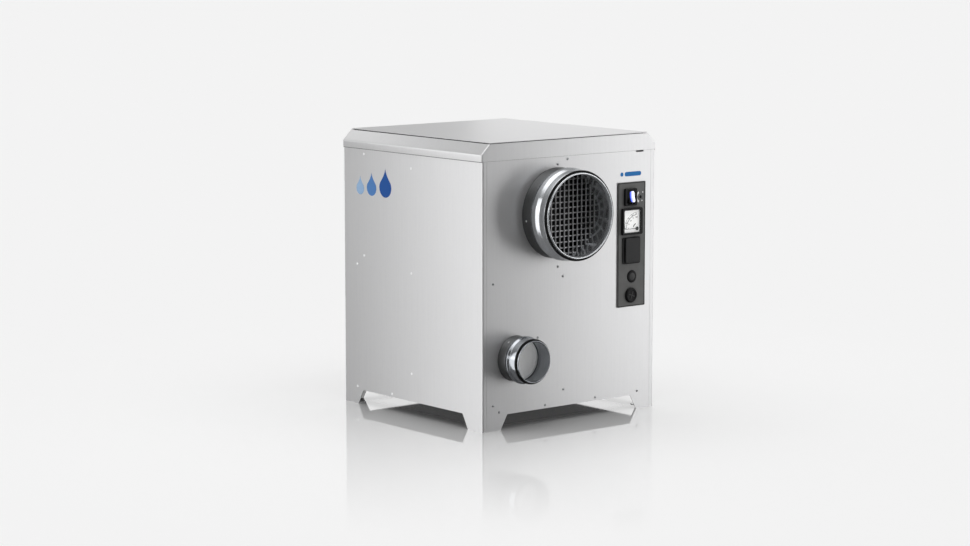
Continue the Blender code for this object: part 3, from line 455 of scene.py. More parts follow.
def rounded(corners, steps=5):
    """A closed outline from (u, v, radius) corners, each turned into an arc."""
    outline = []
    count = len(corners)
    for index, (u, v, radius) in enumerate(corners):
        here = Vector((u, v))
        if radius <= 0:
            outline.append((u, v))
            continue
        before = Vector(corners[index - 1][:2]) - here
        after = Vector(corners[(index + 1) % count][:2]) - here
        half = before.angle(after) / 2
        reach = min(radius / math.tan(half), before.length * 0.49, after.length * 0.49)
        before.normalize()
        after.normalize()
        centre = here + (before + after).normalized() * (reach / math.cos(half))
        start = here + before * reach - centre
        end = here + after * reach - centre
        sweep = math.atan2(start.cross(end), start.dot(end))
        for step in range(steps + 1):
            point = centre + Matrix.Rotation(sweep * step / steps, 2) @ start
            outline.append((point.x, point.y))
    return outline


def round_points(centre, radius, angles):
    return [(centre[0] + radius * math.cos(a), centre[1] + radius * math.sin(a)) for a in angles]


def circle(centre, radius, steps=ROUND):
    turn = 2 * math.pi / steps
    return round_points(centre, radius, [i * turn for i in range(steps)])


def arc(centre, radius, start, end, steps):
    angles = [start + (end - start) * i / steps for i in range(steps + 1)]
    return round_points(centre, radius, angles)


def band(centre, radius, width, start, end, steps=24):
    """The outline of a stroke of even width along an arc; angles in degrees."""
    first, last = math.radians(start), math.radians(end)
    outer = arc(centre, radius + width / 2, first, last, steps)
    inner = arc(centre, radius - width / 2, last, first, steps)
    return outer + inner


def rounded_rectangle(centre, width, height, radius, steps=6):
    half_width, half_height = width / 2, height / 2
    signs = ((-1, -1), (1, -1), (1, 1), (-1, 1))
    return rounded(
        [(centre[0] + a * half_width, centre[1] + b * half_height, radius) for a, b in signs],
        steps,
    )


def curve_mesh(name, curve):
    """What a curve's fill makes, as a mesh; the curve itself is removed."""
    holder = in_scene(name + "_outline", curve)
    bpy.context.view_layer.update()
    graph = bpy.context.evaluated_depsgraph_get()
    mesh = bpy.data.meshes.new_from_object(holder.evaluated_get(graph))
    bpy.data.objects.remove(holder)
    bpy.data.curves.remove(curve)
    return mesh


def slab(name, outlines, axis, start, end):
    """A flat outline with holes, given thickness along an axis, as a mesh object.

    Across Y an outline's numbers are X and Z, across X they are Y and Z, and across Z
    they are X and Y.
    """
    curve = bpy.data.curves.new(name, "CURVE")
    with_settings(curve, dimensions="2D", fill_mode="BOTH", extrude=abs(end - start) / 2)
    for outline in outlines:
        spline = curve.splines.new("POLY")
        spline.points.add(len(outline) - 1)
        for point, (u, v) in zip(spline.points, outline):
            point.co = (u, v, 0, 1)
        spline.use_cyclic_u = True
    mesh = curve_mesh(name, curve)
    middle = (start + end) / 2
    if axis == "X":
        turn = Matrix(((0, 0, 1, middle), (1, 0, 0, 0), (0, 1, 0, 0), (0, 0, 0, 1)))
    elif axis == "Y":
        turn = Matrix.Translation((0, middle, 0)) @ Matrix.Rotation(math.pi / 2, 4, "X")
    else:
        turn = Matrix.Translation((0, 0, middle))
    mesh.transform(turn)
    shape = bmesh.new()
    shape.from_mesh(mesh)
    bpy.data.meshes.remove(mesh)
    bmesh.ops.remove_doubles(shape, verts=shape.verts, dist=1e-7)
    bmesh.ops.dissolve_limit(
        shape, angle_limit=0.001, verts=shape.verts, edges=shape.edges, delimit={"NORMAL"}
    )
    bmesh.ops.recalc_face_normals(shape, faces=shape.faces)
    return from_bmesh(name, shape)


def block(name, corner, opposite):
    """A box between any two opposite corners."""
    low, high = (Vector(map(pick, corner, opposite)) for pick in (min, max))
    shape = bmesh.new()
    bmesh.ops.create_cube(shape, size=1)
    bmesh.ops.scale(shape, vec=high - low, verts=shape.verts)
    bmesh.ops.translate(shape, vec=(low + high) / 2, verts=shape.verts)
    return from_bmesh(name, shape)


def combined(obj, others, operation):
    """Cuts or joins an object with helper objects, which are then removed."""
    for other in others:
        modify(obj, "BOOLEAN", operation=operation, solver="EXACT", object=other)
    applied(obj)
    for other in others:
        bpy.data.objects.remove(other)
    return obj


def finished(obj, edge, segments, finish, body="root", replaces=(), angle=40):
    return placed(softened(obj, edge, segments, angle), finish, body, replaces)


def lathe(name, profile, at, direction, steps=ROUND, sharp=35):
    """A closed profile of (radius, distance out) points turned about a line.

    at is the line's zero point and direction points outwards along it. Where the
    profile reaches the axis it closes to a point.
    """
    out = Vector(direction).normalized()
    across = out.orthogonal().normalized()
    beside = out.cross(across)
    angles = [2 * math.pi * step / steps for step in range(steps)]
    spokes = [across * math.cos(angle) + beside * math.sin(angle) for angle in angles]
    shape = bmesh.new()
    rings = []
    for radius, distance in profile:
        centre = Vector(at) + out * distance
        if radius < 1e-7:
            rings.append([shape.verts.new(centre)] * steps)
        else:
            rings.append([shape.verts.new(centre + spoke * radius) for spoke in spokes])
    for ring, following in zip(rings, rings[1:] + rings[:1]):
        for step in range(steps):
            after = (step + 1) % steps
            # A point on the axis counts once, so a face there has three corners or none
            corners = dict.fromkeys((ring[step], following[step], following[after], ring[after]))
            if len(corners) > 2:
                shape.faces.new(list(corners))
    bmesh.ops.recalc_face_normals(shape, faces=shape.faces)
    return smoothed(from_bmesh(name, shape), sharp)


def joined(name, pieces):
    """Makes one object of several."""
    shape = bmesh.new()
    for piece in pieces:
        shape.from_mesh(piece.data)
        bpy.data.objects.remove(piece)
    return smoothed(from_bmesh(name, shape))


# ---------------------------------------------------------------- cabinet

RIVET_RADIUS = 0.0024
RIVET_HEIGHT = 0.0010
# Rivets on the faces: X and Z in front, Y and Z on the sides
FRONT_RIVETS = (
    (-0.0077, 0.4645), (-0.0304, 0.4567), (-0.0295, 0.2760), (-0.0178, 0.2579),
    (-0.1764, 0.2576), (-0.0752, 0.1544), (-0.1763, 0.0448), (-0.1628, 0.0318),
    (-0.0157, 0.0557), (-0.0575, 0.0325), (0.0600, 0.0325), (0.1613, 0.0325),
)
SIDE_RIVETS = (
    (0.1390, 0.4600), (0.0, 0.4440), (0.1400, 0.2752), (0.1612, 0.2580),
    (0.0, 0.2572), (0.0, 0.0764), (0.1622, 0.0318), (0.0580, 0.0318),
)
BACK_RIVETS = (
    (-0.176, 0.4440), (0.176, 0.4440), (-0.176, 0.2576), (0.176, 0.2576),
    (-0.176, 0.0448), (0.176, 0.0448), (-0.060, 0.0325), (0.060, 0.0325),
)


# The slot in the front sheet, under the lid's edge
NOTCH_X = (0.1548, 0.1728)


def rivets(name, places, direction, height=RIVET_HEIGHT, finish=None):
    """Blind rivets: low domes with the hole that the pulled mandrel leaves."""
    dome = (
        (0, 0.25), (0.30, 0.25), (0.36, 0.88), (0.46, 1), (0.72, 0.82), (0.92, 0.45),
        (1, 0.12), (1, -0.1), (0, -0.1),
    )
    profile = [(RIVET_RADIUS * across, height * up) for across, up in dome]
    heads = [
        lathe(f"{name}_{number}", profile, place, direction, 20)
        for number, place in enumerate(places)
    ]
    return placed(joined(name, heads), finish or RIVET)


def casing_sheet(sheet, node):
    finished(sheet, SHEET_EDGE, 1, CASING, replaces=[node], angle=60)


def foot_cutout(half):
    """The trapezoid under one face, between its two feet; it reaches past the floor."""
    below = -0.005
    spread = FOOT_SLANT / CUTOUT_HEIGHT * -below
    inner = half - FOOT_WIDTH
    return rounded([
        (-inner - spread, below, 0),
        (inner + spread, below, 0),
        (inner - FOOT_SLANT, CUTOUT_HEIGHT, FOOT_CORNER),
        (-inner + FOOT_SLANT, CUTOUT_HEIGHT, FOOT_CORNER),
    ])


def side_sheet(name, node, side):
    """A side with its bends: it turns onto the front and the back, and its feet turn in."""
    outer = side * RIGHT
    inner = side * (RIGHT - RETURN_WIDTH)
    lining = outer - side * SHEET
    path = rounded([
        (inner, FRONT, 0), (outer, FRONT, BEND_RADIUS), (outer, BACK, BEND_RADIUS),
        (inner, BACK, 0), (inner, BACK - SHEET, 0), (lining, BACK - SHEET, BEND_RADIUS - SHEET),
        (lining, FRONT + SHEET, BEND_RADIUS - SHEET), (inner, FRONT + SHEET, 0),
    ], 8)
    sheet = slab(name, [path], "Z", 0, SIDE_TOP)
    cuts = [slab(name + "_cutout", [foot_cutout(BACK)], "X", outer - 0.004, outer + 0.004)]
    pads = []
    for facing in (-1, 1):
        near = (side * (RIGHT - RETURN_WIDTH - 0.010), facing * (BACK - SHEET - GAP), SEAM - GAP)
        far = (side * (RIGHT + 0.010), facing * (BACK + 0.004), SIDE_TOP + 0.010)
        cuts.append(block(f"{name}_trim_{facing}", near, far))
        near = (side * (RIGHT - FOOT_PAD_DEPTH), facing * (BACK - FOOT_WIDTH + 0.001), 0)
        far = (side * (RIGHT - SHEET / 2), facing * (BACK - 0.0016), SHEET)
        pads.append(block(f"{name}_pad_{facing}", near, far))
    combined(sheet, cuts, "DIFFERENCE")
    combined(sheet, pads, "UNION")
    casing_sheet(sheet, node)
    places = [(outer, y, z) for y, z in SIDE_RIVETS]
    # The side rivets take the lighter steel, a painted highlight.
    rivets(name + "_rivets", places, (side, 0, 0), RIVET_HEIGHT * 0.5, SIDE_RIVET)


def face_outline():
    """The front or back sheet's edge, between the side returns, with its feet."""
    half = RIGHT - RETURN_WIDTH - GAP
    foot = RIGHT - FOOT_WIDTH
    top = SEAM - GAP
    return rounded([
        (-half, 0, 0), (-foot, 0, 0), (-foot + FOOT_SLANT, CUTOUT_HEIGHT, FOOT_CORNER),
        (foot - FOOT_SLANT, CUTOUT_HEIGHT, FOOT_CORNER), (foot, 0, 0), (half, 0, 0),
        (half, top, 0), (-half, top, 0),
    ])


def front_sheet():
    middle, width, height = face_of("control_plate")
    margin = 0.010
    outlines = [
        face_outline(),
        circle(INLET, LARGE_RADIUS + GAP),
        circle(WET_AIR, SMALL_RADIUS + GAP),
        rounded_rectangle(middle, width - margin, height - margin, 0.002),
    ]
    sheet = slab("front_sheet", outlines, "Y", FRONT, FRONT + SHEET)
    low = (NOTCH_X[0], FRONT - 0.01, SEAM - 0.0030)
    high = (NOTCH_X[1], FRONT + 0.01, SEAM + 0.01)
    combined(sheet, [block("lid_latch_notch", low, high)], "DIFFERENCE")
    casing_sheet(sheet, "front_panel")
    rivets("front_sheet_rivets", [(x, FRONT, z) for x, z in FRONT_RIVETS], (0, -1, 0))


def back_sheet():
    outlines = [face_outline(), circle(OUTLET, LARGE_RADIUS + GAP)]
    sheet = slab("back_sheet", outlines, "Y", BACK - SHEET, BACK)
    casing_sheet(sheet, "back_panel")
    rivets("back_sheet_rivets", [(x, BACK, z) for x, z in BACK_RIVETS], (0, 1, 0))


LID_GAP = 0.0011
LID_LIP = 0.012
LID_FLAT_X = 0.182


def lid():
    """A folded frame with a lip and a chamfer at each side, and the top sheet over it.

    A gap runs all round between the frame and the top sheet, and a dark grey curb under the
    sheet's edge paints shade into it.
    """
    rim = TOP - SHEET - LID_GAP
    lip_top = SEAM + LID_LIP
    slope = (LIP_X - LID_FLAT_X) / (TOP - lip_top)
    flat = LIP_X - slope * (rim - lip_top)
    half = [(LIP_X, SEAM), (LIP_X, lip_top), (flat, rim)]
    profile = [(-x, z) for x, z in half] + half[::-1]
    shape = bmesh.new()
    front = shape.faces.new([shape.verts.new((x, FRONT, z)) for x, z in profile])
    grown = bmesh.ops.extrude_face_region(shape, geom=[front], use_keep_orig=True)
    moved = [item for item in grown["geom"] if isinstance(item, bmesh.types.BMVert)]
    bmesh.ops.translate(shape, verts=moved, vec=(0, BACK - FRONT, 0))
    bmesh.ops.recalc_face_normals(shape, faces=shape.faces)
    level = [face for face in shape.faces if abs(face.normal.z) > 0.95]
    bmesh.ops.delete(shape, geom=level, context="FACES")
    cover = from_bmesh("lid_frame", shape)
    bevel(cover, 0.0022, 5, 20)
    modify(cover, "SOLIDIFY", thickness=SHEET, offset=-1, use_even_offset=True)
    softened(cover, 0)
    placed(cover, CASING, replaces=["lid"])
    depth = BACK - FRONT
    outline = rounded_rectangle((0, 0), 2 * LID_FLAT_X, depth, 0.0015)
    top = slab("lid_top_sheet", [outline], "Z", TOP - SHEET, TOP)
    finished(top, 0.0004, 3, CASING)
    outlines = [
        rounded_rectangle((0, 0), 2 * (LID_FLAT_X - inset), depth - 2 * inset, 0.002)
        for inset in (0.005, 0.030)
    ]
    # The curb's dark grey is painted shade for the gap under the top sheet's edge.
    curb = slab("lid_curb", outlines, "Z", rim - 0.006, TOP - SHEET - 0.0001)
    finished(curb, 0.0003, 2, GAP_PAINTED_SHADE)
    # Grey strips under each lip: painted shade for the shadow line beneath the lid.
    strips = []
    for side in (-1, 1):
        near = (side * (RIGHT - 0.0002), FRONT + 0.001, SEAM - 0.0014)
        far = (side * (LIP_X - 0.0009), BACK - 0.001, SEAM + 0.0010)
        strips.append(block(f"lid_strip_{side}", near, far))
    placed(joined("lid_lip_shade_strips", strips), LIP_SHADE_GREY)


# ---------------------------------------------------------------- air collars

def sleeve_profile(radius, reach):
    wall = 0.0010
    flange = radius + 0.012
    low = -SHEET - GAP
    corners = [
        (radius, reach, 0.0004), (radius, low, 0.0008), (flange, low, 0.0003),
        (flange, low - SHEET, 0.0003), (radius - wall, low - SHEET, 0.0015),
        (radius - wall, reach, 0.0004),
    ]
    return rounded(corners, 3)


def large_spigot_profile(reach):
    """The duct spigot: a neck, a wide stop bead, a seal groove and a rolled rim."""
    corners = [
        (0.0726, reach, 0.0012), (0.0752, reach, 0.0014), (0.0754, reach - 0.0062, 0.0003),
        (0.0785, reach - 0.0064, 0.0008), (0.0788, 0.0440, 0.0040), (0.0812, 0.0360, 0.0060),
        (0.0820, 0.0285, 0.0022), (0.0800, 0.0256, 0.0010), (0.0762, 0.0250, 0.0004),
        (0.0762, 0.0212, 0.0004), (0.0785, 0.0206, 0.0004), (0.0785, 0.0020, 0.0002),
        (0.0764, 0.0020, 0.0002), (0.0756, 0.0250, 0.0010), (0.0750, reach - 0.0130, 0.0006),
        (0.0711, reach - 0.0100, 0.0008), (0.0711, reach - 0.0060, 0.0020),
    ]
    return rounded(corners, 5)


def small_spigot_profile(reach):
    corners = [
        (0.0352, reach, 0.0007), (0.0368, reach, 0.0007), (0.0369, reach - 0.0076, 0.0003),
        (0.0386, reach - 0.0078, 0.0005), (0.0389, 0.0296, 0.0010), (0.0418, 0.0262, 0.0014),
        (0.0418, 0.0238, 0.0012), (0.0390, 0.0215, 0.0008), (0.0374, 0.0210, 0.0003),
        (0.0374, 0.0182, 0.0003), (0.0389, 0.0177, 0.0003), (0.0389, 0.0015, 0.0002),
        (0.0378, 0.0015, 0.0002), (0.0374, 0.0222, 0.0008), (0.0364, reach - 0.0071, 0.0005),
        (0.0360, reach - 0.0018, 0.0005), (0.0352, reach - 0.0012, 0.0004),
    ]
    return rounded(corners, 4)


def seal_profile(groove, lip, out, extra=0.0):
    """A lip seal: a flat foot in the groove, and a lip that leans back."""
    corners = [
        (groove, out + 0.0012, 0.0002), (groove + 0.0012, out + 0.0012, 0.0004),
        (lip - 0.0004, out + 0.0006, 0.0003), (lip, out - 0.0006 - extra, 0.0003),
        (lip - 0.0010, out - 0.0014 - extra, 0.0004), (groove, out - 0.0020 - extra, 0.0002),
    ]
    return rounded(corners, 4)


def sleeve_rivets(name, centre, radius, facing, out, first_angle):
    """Three rivets round a sleeve, standing on its curved side."""
    heads = []
    size = 0.0020
    for third in range(3):
        angle = math.radians(first_angle + 120 * third)
        away = Vector((math.cos(angle), 0, math.sin(angle)))
        face = FRONT if facing < 0 else BACK
        place = Vector((centre[0], face + facing * out, centre[1])) + away * (radius - 0.0001)
        profile = [
            (0, size * 0.42), (size * 0.6, size * 0.36), (size * 0.95, size * 0.14),
            (size, -0.0003), (0, -0.0003),
        ]
        heads.append(lathe(f"{name}_{third}", profile, place, away, 20, 60))
    return placed(joined(name, heads), RIVET)


def collar(prefix, centre, facing, radius, steel, first_angle, profiles, steps=ROUND):
    """A sleeve, the spigot in it and the lip seal, each turned about the collar's axis."""
    at = (centre[0], FRONT if facing < 0 else BACK, centre[1])
    parts = (
        ("_sleeve", "_sleeve_tube", SLEEVE, "bright_steel", 35),
        ("_spigot", "_spigot_tube", steel, "bright_steel", 50),
        ("_seal", "_lip_seal", SEAL, "black_rubber", 60),
    )
    for (node, piece, finish, slot, sharp), profile in zip(parts, profiles):
        tube = lathe(prefix + piece, profile, at, (0, facing, 0), steps, sharp)
        placed(tube, finish, replaces=[prefix + node])
    sleeve_rivets(prefix + "_sleeve_rivets", centre, radius, facing, 0.010, first_angle)


def large_collar(prefix, centre, facing):
    profiles = (
        sleeve_profile(LARGE_RADIUS, 0.022),
        large_spigot_profile(LARGE_REACH),
        seal_profile(0.0755, 0.0793, LARGE_REACH - 0.0040),
    )
    collar(prefix, centre, facing, LARGE_RADIUS, SPIGOT, 66, profiles)


GUARD_PITCH = 0.010
GUARD_WIRE = 0.0013
GUARD_RADIUS = 0.0762


def wire_between(name, start, end, radius, steps=8):
    """A round wire from point to point."""
    line = Vector(end) - Vector(start)
    profile = [
        (0, line.length), (radius * 0.8, line.length), (radius, line.length - radius * 0.2),
        (radius, radius * 0.2), (radius * 0.8, 0), (0, 0),
    ]
    return lathe(name, profile, start, line, steps, 60)


def inlet_guard():
    """Welded mesh: level wires behind upright ones, all ending on a ring."""
    middle = middle_of("inlet_guard")
    radius = GUARD_RADIUS
    wires = []
    count = int(radius / GUARD_PITCH)
    for number in range(-count, count + 1):
        offset = number * GUARD_PITCH
        half = math.sqrt(radius**2 - offset**2)
        if half < GUARD_PITCH * 0.4:
            continue
        near = middle.y - GUARD_WIRE * 0.9
        far = middle.y + GUARD_WIRE * 0.9
        low = (middle.x + offset, near, middle.z - half)
        high = (middle.x + offset, near, middle.z + half)
        wires.append(wire_between(f"upright_{number}", low, high, GUARD_WIRE))
        left = (middle.x - half, far, middle.z + offset)
        right = (middle.x + half, far, middle.z + offset)
        wires.append(wire_between(f"level_{number}", left, right, GUARD_WIRE))
    thin, wide, half = radius + 0.0005, radius + 0.0010, 0.0010
    ring = [(thin, -half), (wide, -half), (wide, half), (thin, half)]
    wires.append(lathe("guard_ring", ring, middle, (0, -1, 0)))
    placed(joined("inlet_guard_mesh", wires), WIRE, replaces=["inlet_guard"])


def wet_air_collar():
    """The small collar with its damper: a disc on a spindle, turned by a lever outside."""
    profiles = (
        sleeve_profile(SMALL_RADIUS, 0.019),
        small_spigot_profile(SMALL_REACH),
        seal_profile(0.0370, 0.0397, SMALL_REACH - 0.0042, 0.0016),
    )
    collar("wet_air", WET_AIR, -1, SMALL_RADIUS, SMALL_SPIGOT, 7, profiles, 96)
    damper()


def damper():
    low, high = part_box("damper_blade")
    y = (low.y + high.y) / 2
    radius = 0.0366
    half = 0.0006
    corners = [
        (0, half, 0), (radius - 0.006, half, 0.0005), (radius - 0.0052, half + 0.0005, 0.0004),
        (radius - 0.0040, half + 0.0005, 0.0004), (radius - 0.0030, half, 0.0005),
        (radius, half, 0.0004), (radius, -half, 0.0004), (0, -half, 0),
    ]
    place = (WET_AIR[0], y - 0.0030, WET_AIR[1])
    disc = lathe("damper_disc", rounded(corners, 3), place, (0, -1, 0), 96)
    left = (low.x, y, WET_AIR[1])
    right = (high.x, y, WET_AIR[1])
    spindle = wire_between("damper_spindle", left, right, 0.0024, 24)
    blade = joined("damper_disc_and_spindle", [disc, spindle])
    placed(blade, DISC, "damper", ["damper_blade"])
    low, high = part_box("damper_lever")
    width = high.y - low.y
    eye = (y, WET_AIR[1])
    outline = [(y + width * 0.4, high.z), (y - width * 0.4, high.z)]
    outline += arc(eye, width / 2, math.pi, 2 * math.pi, 24)
    grip = slab("damper_handle", [outline, circle(eye, 0.0027, 24)], "X", low.x, high.x)
    finished(grip, 0.0004, 3, INNER, "damper", ["damper_lever"])


# ---------------------------------------------------------------- control strip

def framed(name, node, hole, corner):
    """A bezel standing out of the control plate, rounded at its corners and edges."""
    middle, width, height = face_of(node)
    outlines = [rounded_rectangle(middle, width, height, corner), rounded_rectangle(middle, *hole)]
    bezel = slab(name, outlines, "Y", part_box(node)[0].y, PLATE_FRONT - GAP)
    finished(bezel, 0.0009, 4, BLACK, replaces=[node])


def control_plate():
    middle, width, height = face_of("control_plate")
    holes = [
        rounded_rectangle(centre_xz("rocker_frame"), 0.0236, 0.0276, 0.001),
        rounded_rectangle(centre_xz("meter_case"), 0.0446, 0.0446, 0.001),
        circle(centre_xz("socket_frame"), 0.0203, 48),
        circle(centre_xz("small_hole_plug"), 0.0090, 48),
        circle(centre_xz("large_hole_plug"), 0.0110, 48),
    ]
    outer, line, inner = (
        rounded_rectangle(middle, width - less, height - less, corner)
        for less, corner in ((0, 0.0015), (0.0016, 0.0014), (0.0044, 0.0012))
    )
    plate = slab("control_strip", [outer, *holes], "Y", PLATE_FRONT, FRONT - GAP)
    finished(plate, 0.0006, 3, PLATE, replaces=["control_plate"])
    near, far = PLATE_FRONT - 0.0002, PLATE_FRONT + 0.0002
    trim = slab("control_strip_border", [line, inner], "Y", near, far)
    finished(trim, 0, 2, SATIN_BLACK)


def rocker():
    x, z = face_of("rocker_frame")[0]
    framed("rocker_bezel", "rocker_frame", (0.0176, 0.0254, 0.0012), 0.0025)
    low = (x - 0.0086, PLATE_FRONT + 0.0015, z - 0.0125)
    high = (x + 0.0086, PLATE_FRONT + 0.0030, z + 0.0125)
    finished(block("rocker_well", low, high), 0.0003, 2, BLACK)
    rocker_button()


def rocker_button():
    """The rocker itself: two slopes that meet in a valley, tipped at rest."""
    joint = joint_named("rocker_tip")
    pivot = Vector(joint["pos_m"])
    low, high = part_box("rocker_button")
    tilt = math.radians(joint["range_deg"][1] / 2)
    half = 0.0112
    outline = rounded([
        (-half, 0.0060, 0.0012), (-half, 0.0005, 0.0008), (-0.004, -0.0042, 0.0010),
        (0.004, -0.0042, 0.0010), (half, 0.0005, 0.0008), (half, 0.0060, 0.0012),
        (0, 0.0038, 0.010),
    ], 8)
    button = slab("rocker_body", [[(-out, up) for up, out in outline]], "X", low.x, high.x)
    softened(button, 0.0008, 4, 50)
    turn = Matrix.Translation(Vector((0, pivot.y, pivot.z))) @ Matrix.Rotation(-tilt, 4, "X")
    button.data.transform(turn)
    placed(button, BLACK, "rocker", ["rocker_button"])
    for number, way in enumerate((1, -1)):
        end = way * 0.0100
        ends = [(-0.0052, 0, 0), (0.0052, 0, 0), (0.0052, end, 0.0035), (-0.0052, end, 0.0035)]
        lens = slab(f"rocker_lens_{number}", [rounded(ends)], "Y", -0.0004, 0.0004)
        softened(lens, 0.0001)
        lean = way * math.atan2(0.0013, 0.0100)
        lens.data.transform(Matrix.Rotation(lean, 4, "X"))
        lens.data.transform(Matrix.Translation(((low.x + high.x) / 2 + 0.0012, -0.0044, 0)))
        lens.data.transform(turn)
        placed(lens, LENS, "rocker")


def print_marks(name, outlines, y, finish, body="root"):
    """Flat printed marks a tenth of a millimetre thick, on a face that looks to the front."""
    marks = [
        slab(f"{name}_{number}", outline, "Y", y - 0.0001, y + 0.00005)
        for number, outline in enumerate(outlines)
    ]
    return placed(joined(name, marks), finish, body)


def strip_marks():
    """The arc and dots beside the rocker, and the small dark pilot lamp among them."""
    x, z = centre_xz("rocker_frame")
    centre = (x + 0.0262, z - 0.0012)
    marks = [
        [band(centre, 0.0094, 0.0034, 116, 244)],
        [circle((centre[0] + 0.0052, centre[1] + 0.0082), 0.0012, 20)],
        [circle((centre[0] + 0.0034, centre[1] - 0.0068), 0.0012, 20)],
    ]
    print_marks("strip_marks", marks, PLATE_FRONT, INK_WHITE)
    profile = [
        (0, 0.0012), (0.0016, 0.0011), (0.0026, 0.0006),
        (0.0028, 0), (0.0028, -0.0005), (0, -0.0005),
    ]
    lamp = lathe("pilot_lamp", profile, (centre[0], PLATE_FRONT, centre[1]), (0, -1, 0), 32, 60)
    placed(lamp, BLACK)


def text_mesh(name, words, size, at, y):
    """Small upright numerals facing the front."""
    curve = bpy.data.curves.new(name, "FONT")
    with_settings(curve, body=words, size=size, align_x="CENTER", align_y="CENTER")
    curve.extrude = 0.00004
    mesh = curve_mesh(name, curve)
    mesh.transform(Matrix.Translation((at[0], y, at[1])) @ Matrix.Rotation(math.pi / 2, 4, "X"))
    return in_scene(name, mesh)


def meter():
    """A square meter: bezel, card with its scale, needle, hub cover and window."""
    middle = face_of("meter_case")[0]
    framed("meter_bezel", "meter_case", (0.0396, 0.0404, 0.0015), 0.0030)
    dial_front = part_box("meter_dial")[0].y
    outline = rounded_rectangle(middle, 0.0410, 0.0410, 0.001)
    card = slab("meter_card", [outline], "Y", dial_front, dial_front + 0.0008)
    finished(card, 0.0001, 2, DIAL, replaces=["meter_dial"])
    place = joint_named("needle_swing")["pos_m"]
    pivot = (place[0], place[2])
    fine = [[band(pivot, radius, 0.0006, 92, 178, 40)] for radius in (0.0290, 0.0245)]
    ticks = []
    numerals = []
    divisions = 20
    for step in range(divisions + 1):
        angle = 93 + 84 * step / divisions
        major = step % 5 == 0
        length = 0.0040 if major else 0.0022
        width = 1.3 if major else 0.7
        start = 0.0245
        ticks.append([band(pivot, start + length / 2, length, angle - width, angle + width, 2)])
        if major:
            turn = math.radians(angle)
            at = (pivot[0] + 0.0205 * math.cos(turn), pivot[1] + 0.0205 * math.sin(turn))
            words = str(int(100 - 100 * step / divisions))
            numerals.append(text_mesh(f"numeral_{step}", words, 0.0042, at, dial_front - 0.0001))
    print_marks("meter_scale_lines", fine, dial_front, INK_GREY)
    print_marks("meter_scale_ticks", ticks, dial_front, INK_GREY)
    placed(joined("meter_numerals", numerals), INK_GREY)
    stroke = [[band(pivot, 0.0088, 0.0019, 104, 162)]]
    print_marks("meter_stroke", stroke, dial_front, INK_BLACK)
    needle(pivot)
    low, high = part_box("meter_window")
    outline = rounded_rectangle(middle, 0.0408, 0.0408, 0.001)
    pane = slab("meter_pane", [outline], "Y", low.y, high.y)
    finished(pane, 0.0001, 2, GLASS, replaces=["meter_window"])


def needle(pivot):
    low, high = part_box("meter_pointer")
    x, z = pivot
    outline = [(low.x, z + 0.00012), (low.x, z - 0.00012), (x - 0.003, z - 0.0006)]
    outline += arc(pivot, 0.0034, math.radians(195), math.radians(525), 36)
    outline += [(x - 0.003, z + 0.0006)]
    pointer = slab("meter_needle", [outline], "Y", low.y, high.y)
    finished(pointer, 0.0001, 2, INK_BLACK, "needle", ["meter_pointer"])


def socket():
    framed("socket_bezel", "socket_frame", (0.036, 0.036, 0.0179), 0.0035)
    x, z = centre_xz("socket_frame")
    well = [
        (0.0179, 0.0), (0.0179, -0.0185), (0, -0.0185),
        (0, -0.0195), (0.0195, -0.0195), (0.0195, 0.0),
    ]
    cup = lathe("socket_cup", well, (x, PLATE_FRONT - GAP, z), (0, -1, 0), 64)
    placed(cup, BLACK)
    low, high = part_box("socket_flap")
    (x, z), width, height = face_of("socket_flap")
    outline = rounded_rectangle((x + 0.0015, z), width - 0.004, height, 0.0035)
    pieces = [softened(slab("flap_cover", [outline], "Y", low.y, high.y), 0.0010, 4)]
    for number in range(2):
        place = (x, low.z + 0.004 + number * 0.0018)
        ridge = [rounded_rectangle(place, 0.016, 0.0008, 0.0003)]
        pieces.append(slab(f"flap_ridge_{number}", ridge, "Y", low.y - 0.0003, low.y + 0.0003))
    cover = joined("flap_cover_and_grip", pieces)
    placed(cover, SATIN_BLACK, "flap", ["socket_flap"])


def hole_plugs():
    """Snap-in plugs: a domed small one, and a large one with a raised rim and a cross slot."""
    rim = PLATE_FRONT - GAP
    x, z = centre_xz("small_hole_plug")
    corners = [
        (0, 0.0014, 0), (0.0092, 0.0013, 0.002), (0.0113, 0.0002, 0.0004), (0.0113, 0, 0),
        (0.0087, 0, 0), (0.0087, -0.008, 0.0006), (0, -0.008, 0),
    ]
    small = lathe("small_plug_cap", rounded(corners, 4), (x, rim, z), (0, -1, 0), 64, 50)
    placed(small, BLACK, replaces=["small_hole_plug"])
    button = [(0, 0.0017), (0.0060, 0.0016), (0.0070, 0.0011), (0.0070, 0.0004), (0, 0.0004)]
    crown = lathe("small_plug_crown", button, (x, rim, z), (0, -1, 0), 64, 40)
    placed(crown, PLUG_GREY)
    x, z = centre_xz("large_hole_plug")
    corners = [
        (0, 0.0028, 0), (0.0088, 0.0028, 0.0004), (0.0094, 0.0040, 0.0005),
        (0.0120, 0.0040, 0.0010), (0.0138, 0.0020, 0.0010), (0.0138, 0, 0.0002),
        (0.0107, 0, 0), (0.0107, -0.010, 0.0006), (0, -0.010, 0),
    ]
    large = lathe("large_plug_body", rounded(corners, 4), (x, rim, z), (0, -1, 0), 64, 50)
    bars = []
    for turn in (0, 90):
        outline = rounded_rectangle((0, 0), 0.0150, 0.0018, 0.0006)
        bar = slab(f"plug_bar_{turn}", [outline], "Y", rim - 0.0036, rim - 0.0026)
        spun = Matrix.Rotation(math.radians(turn + 20), 4, "Y")
        bar.data.transform(Matrix.Translation((x, 0, z)) @ spun)
        bars.append(softened(bar, 0.0002))
    placed(large, BLACK, replaces=["large_hole_plug"])
    placed(joined("large_plug_cross", bars), PLUG_GREY)


# ---------------------------------------------------------------- film marks

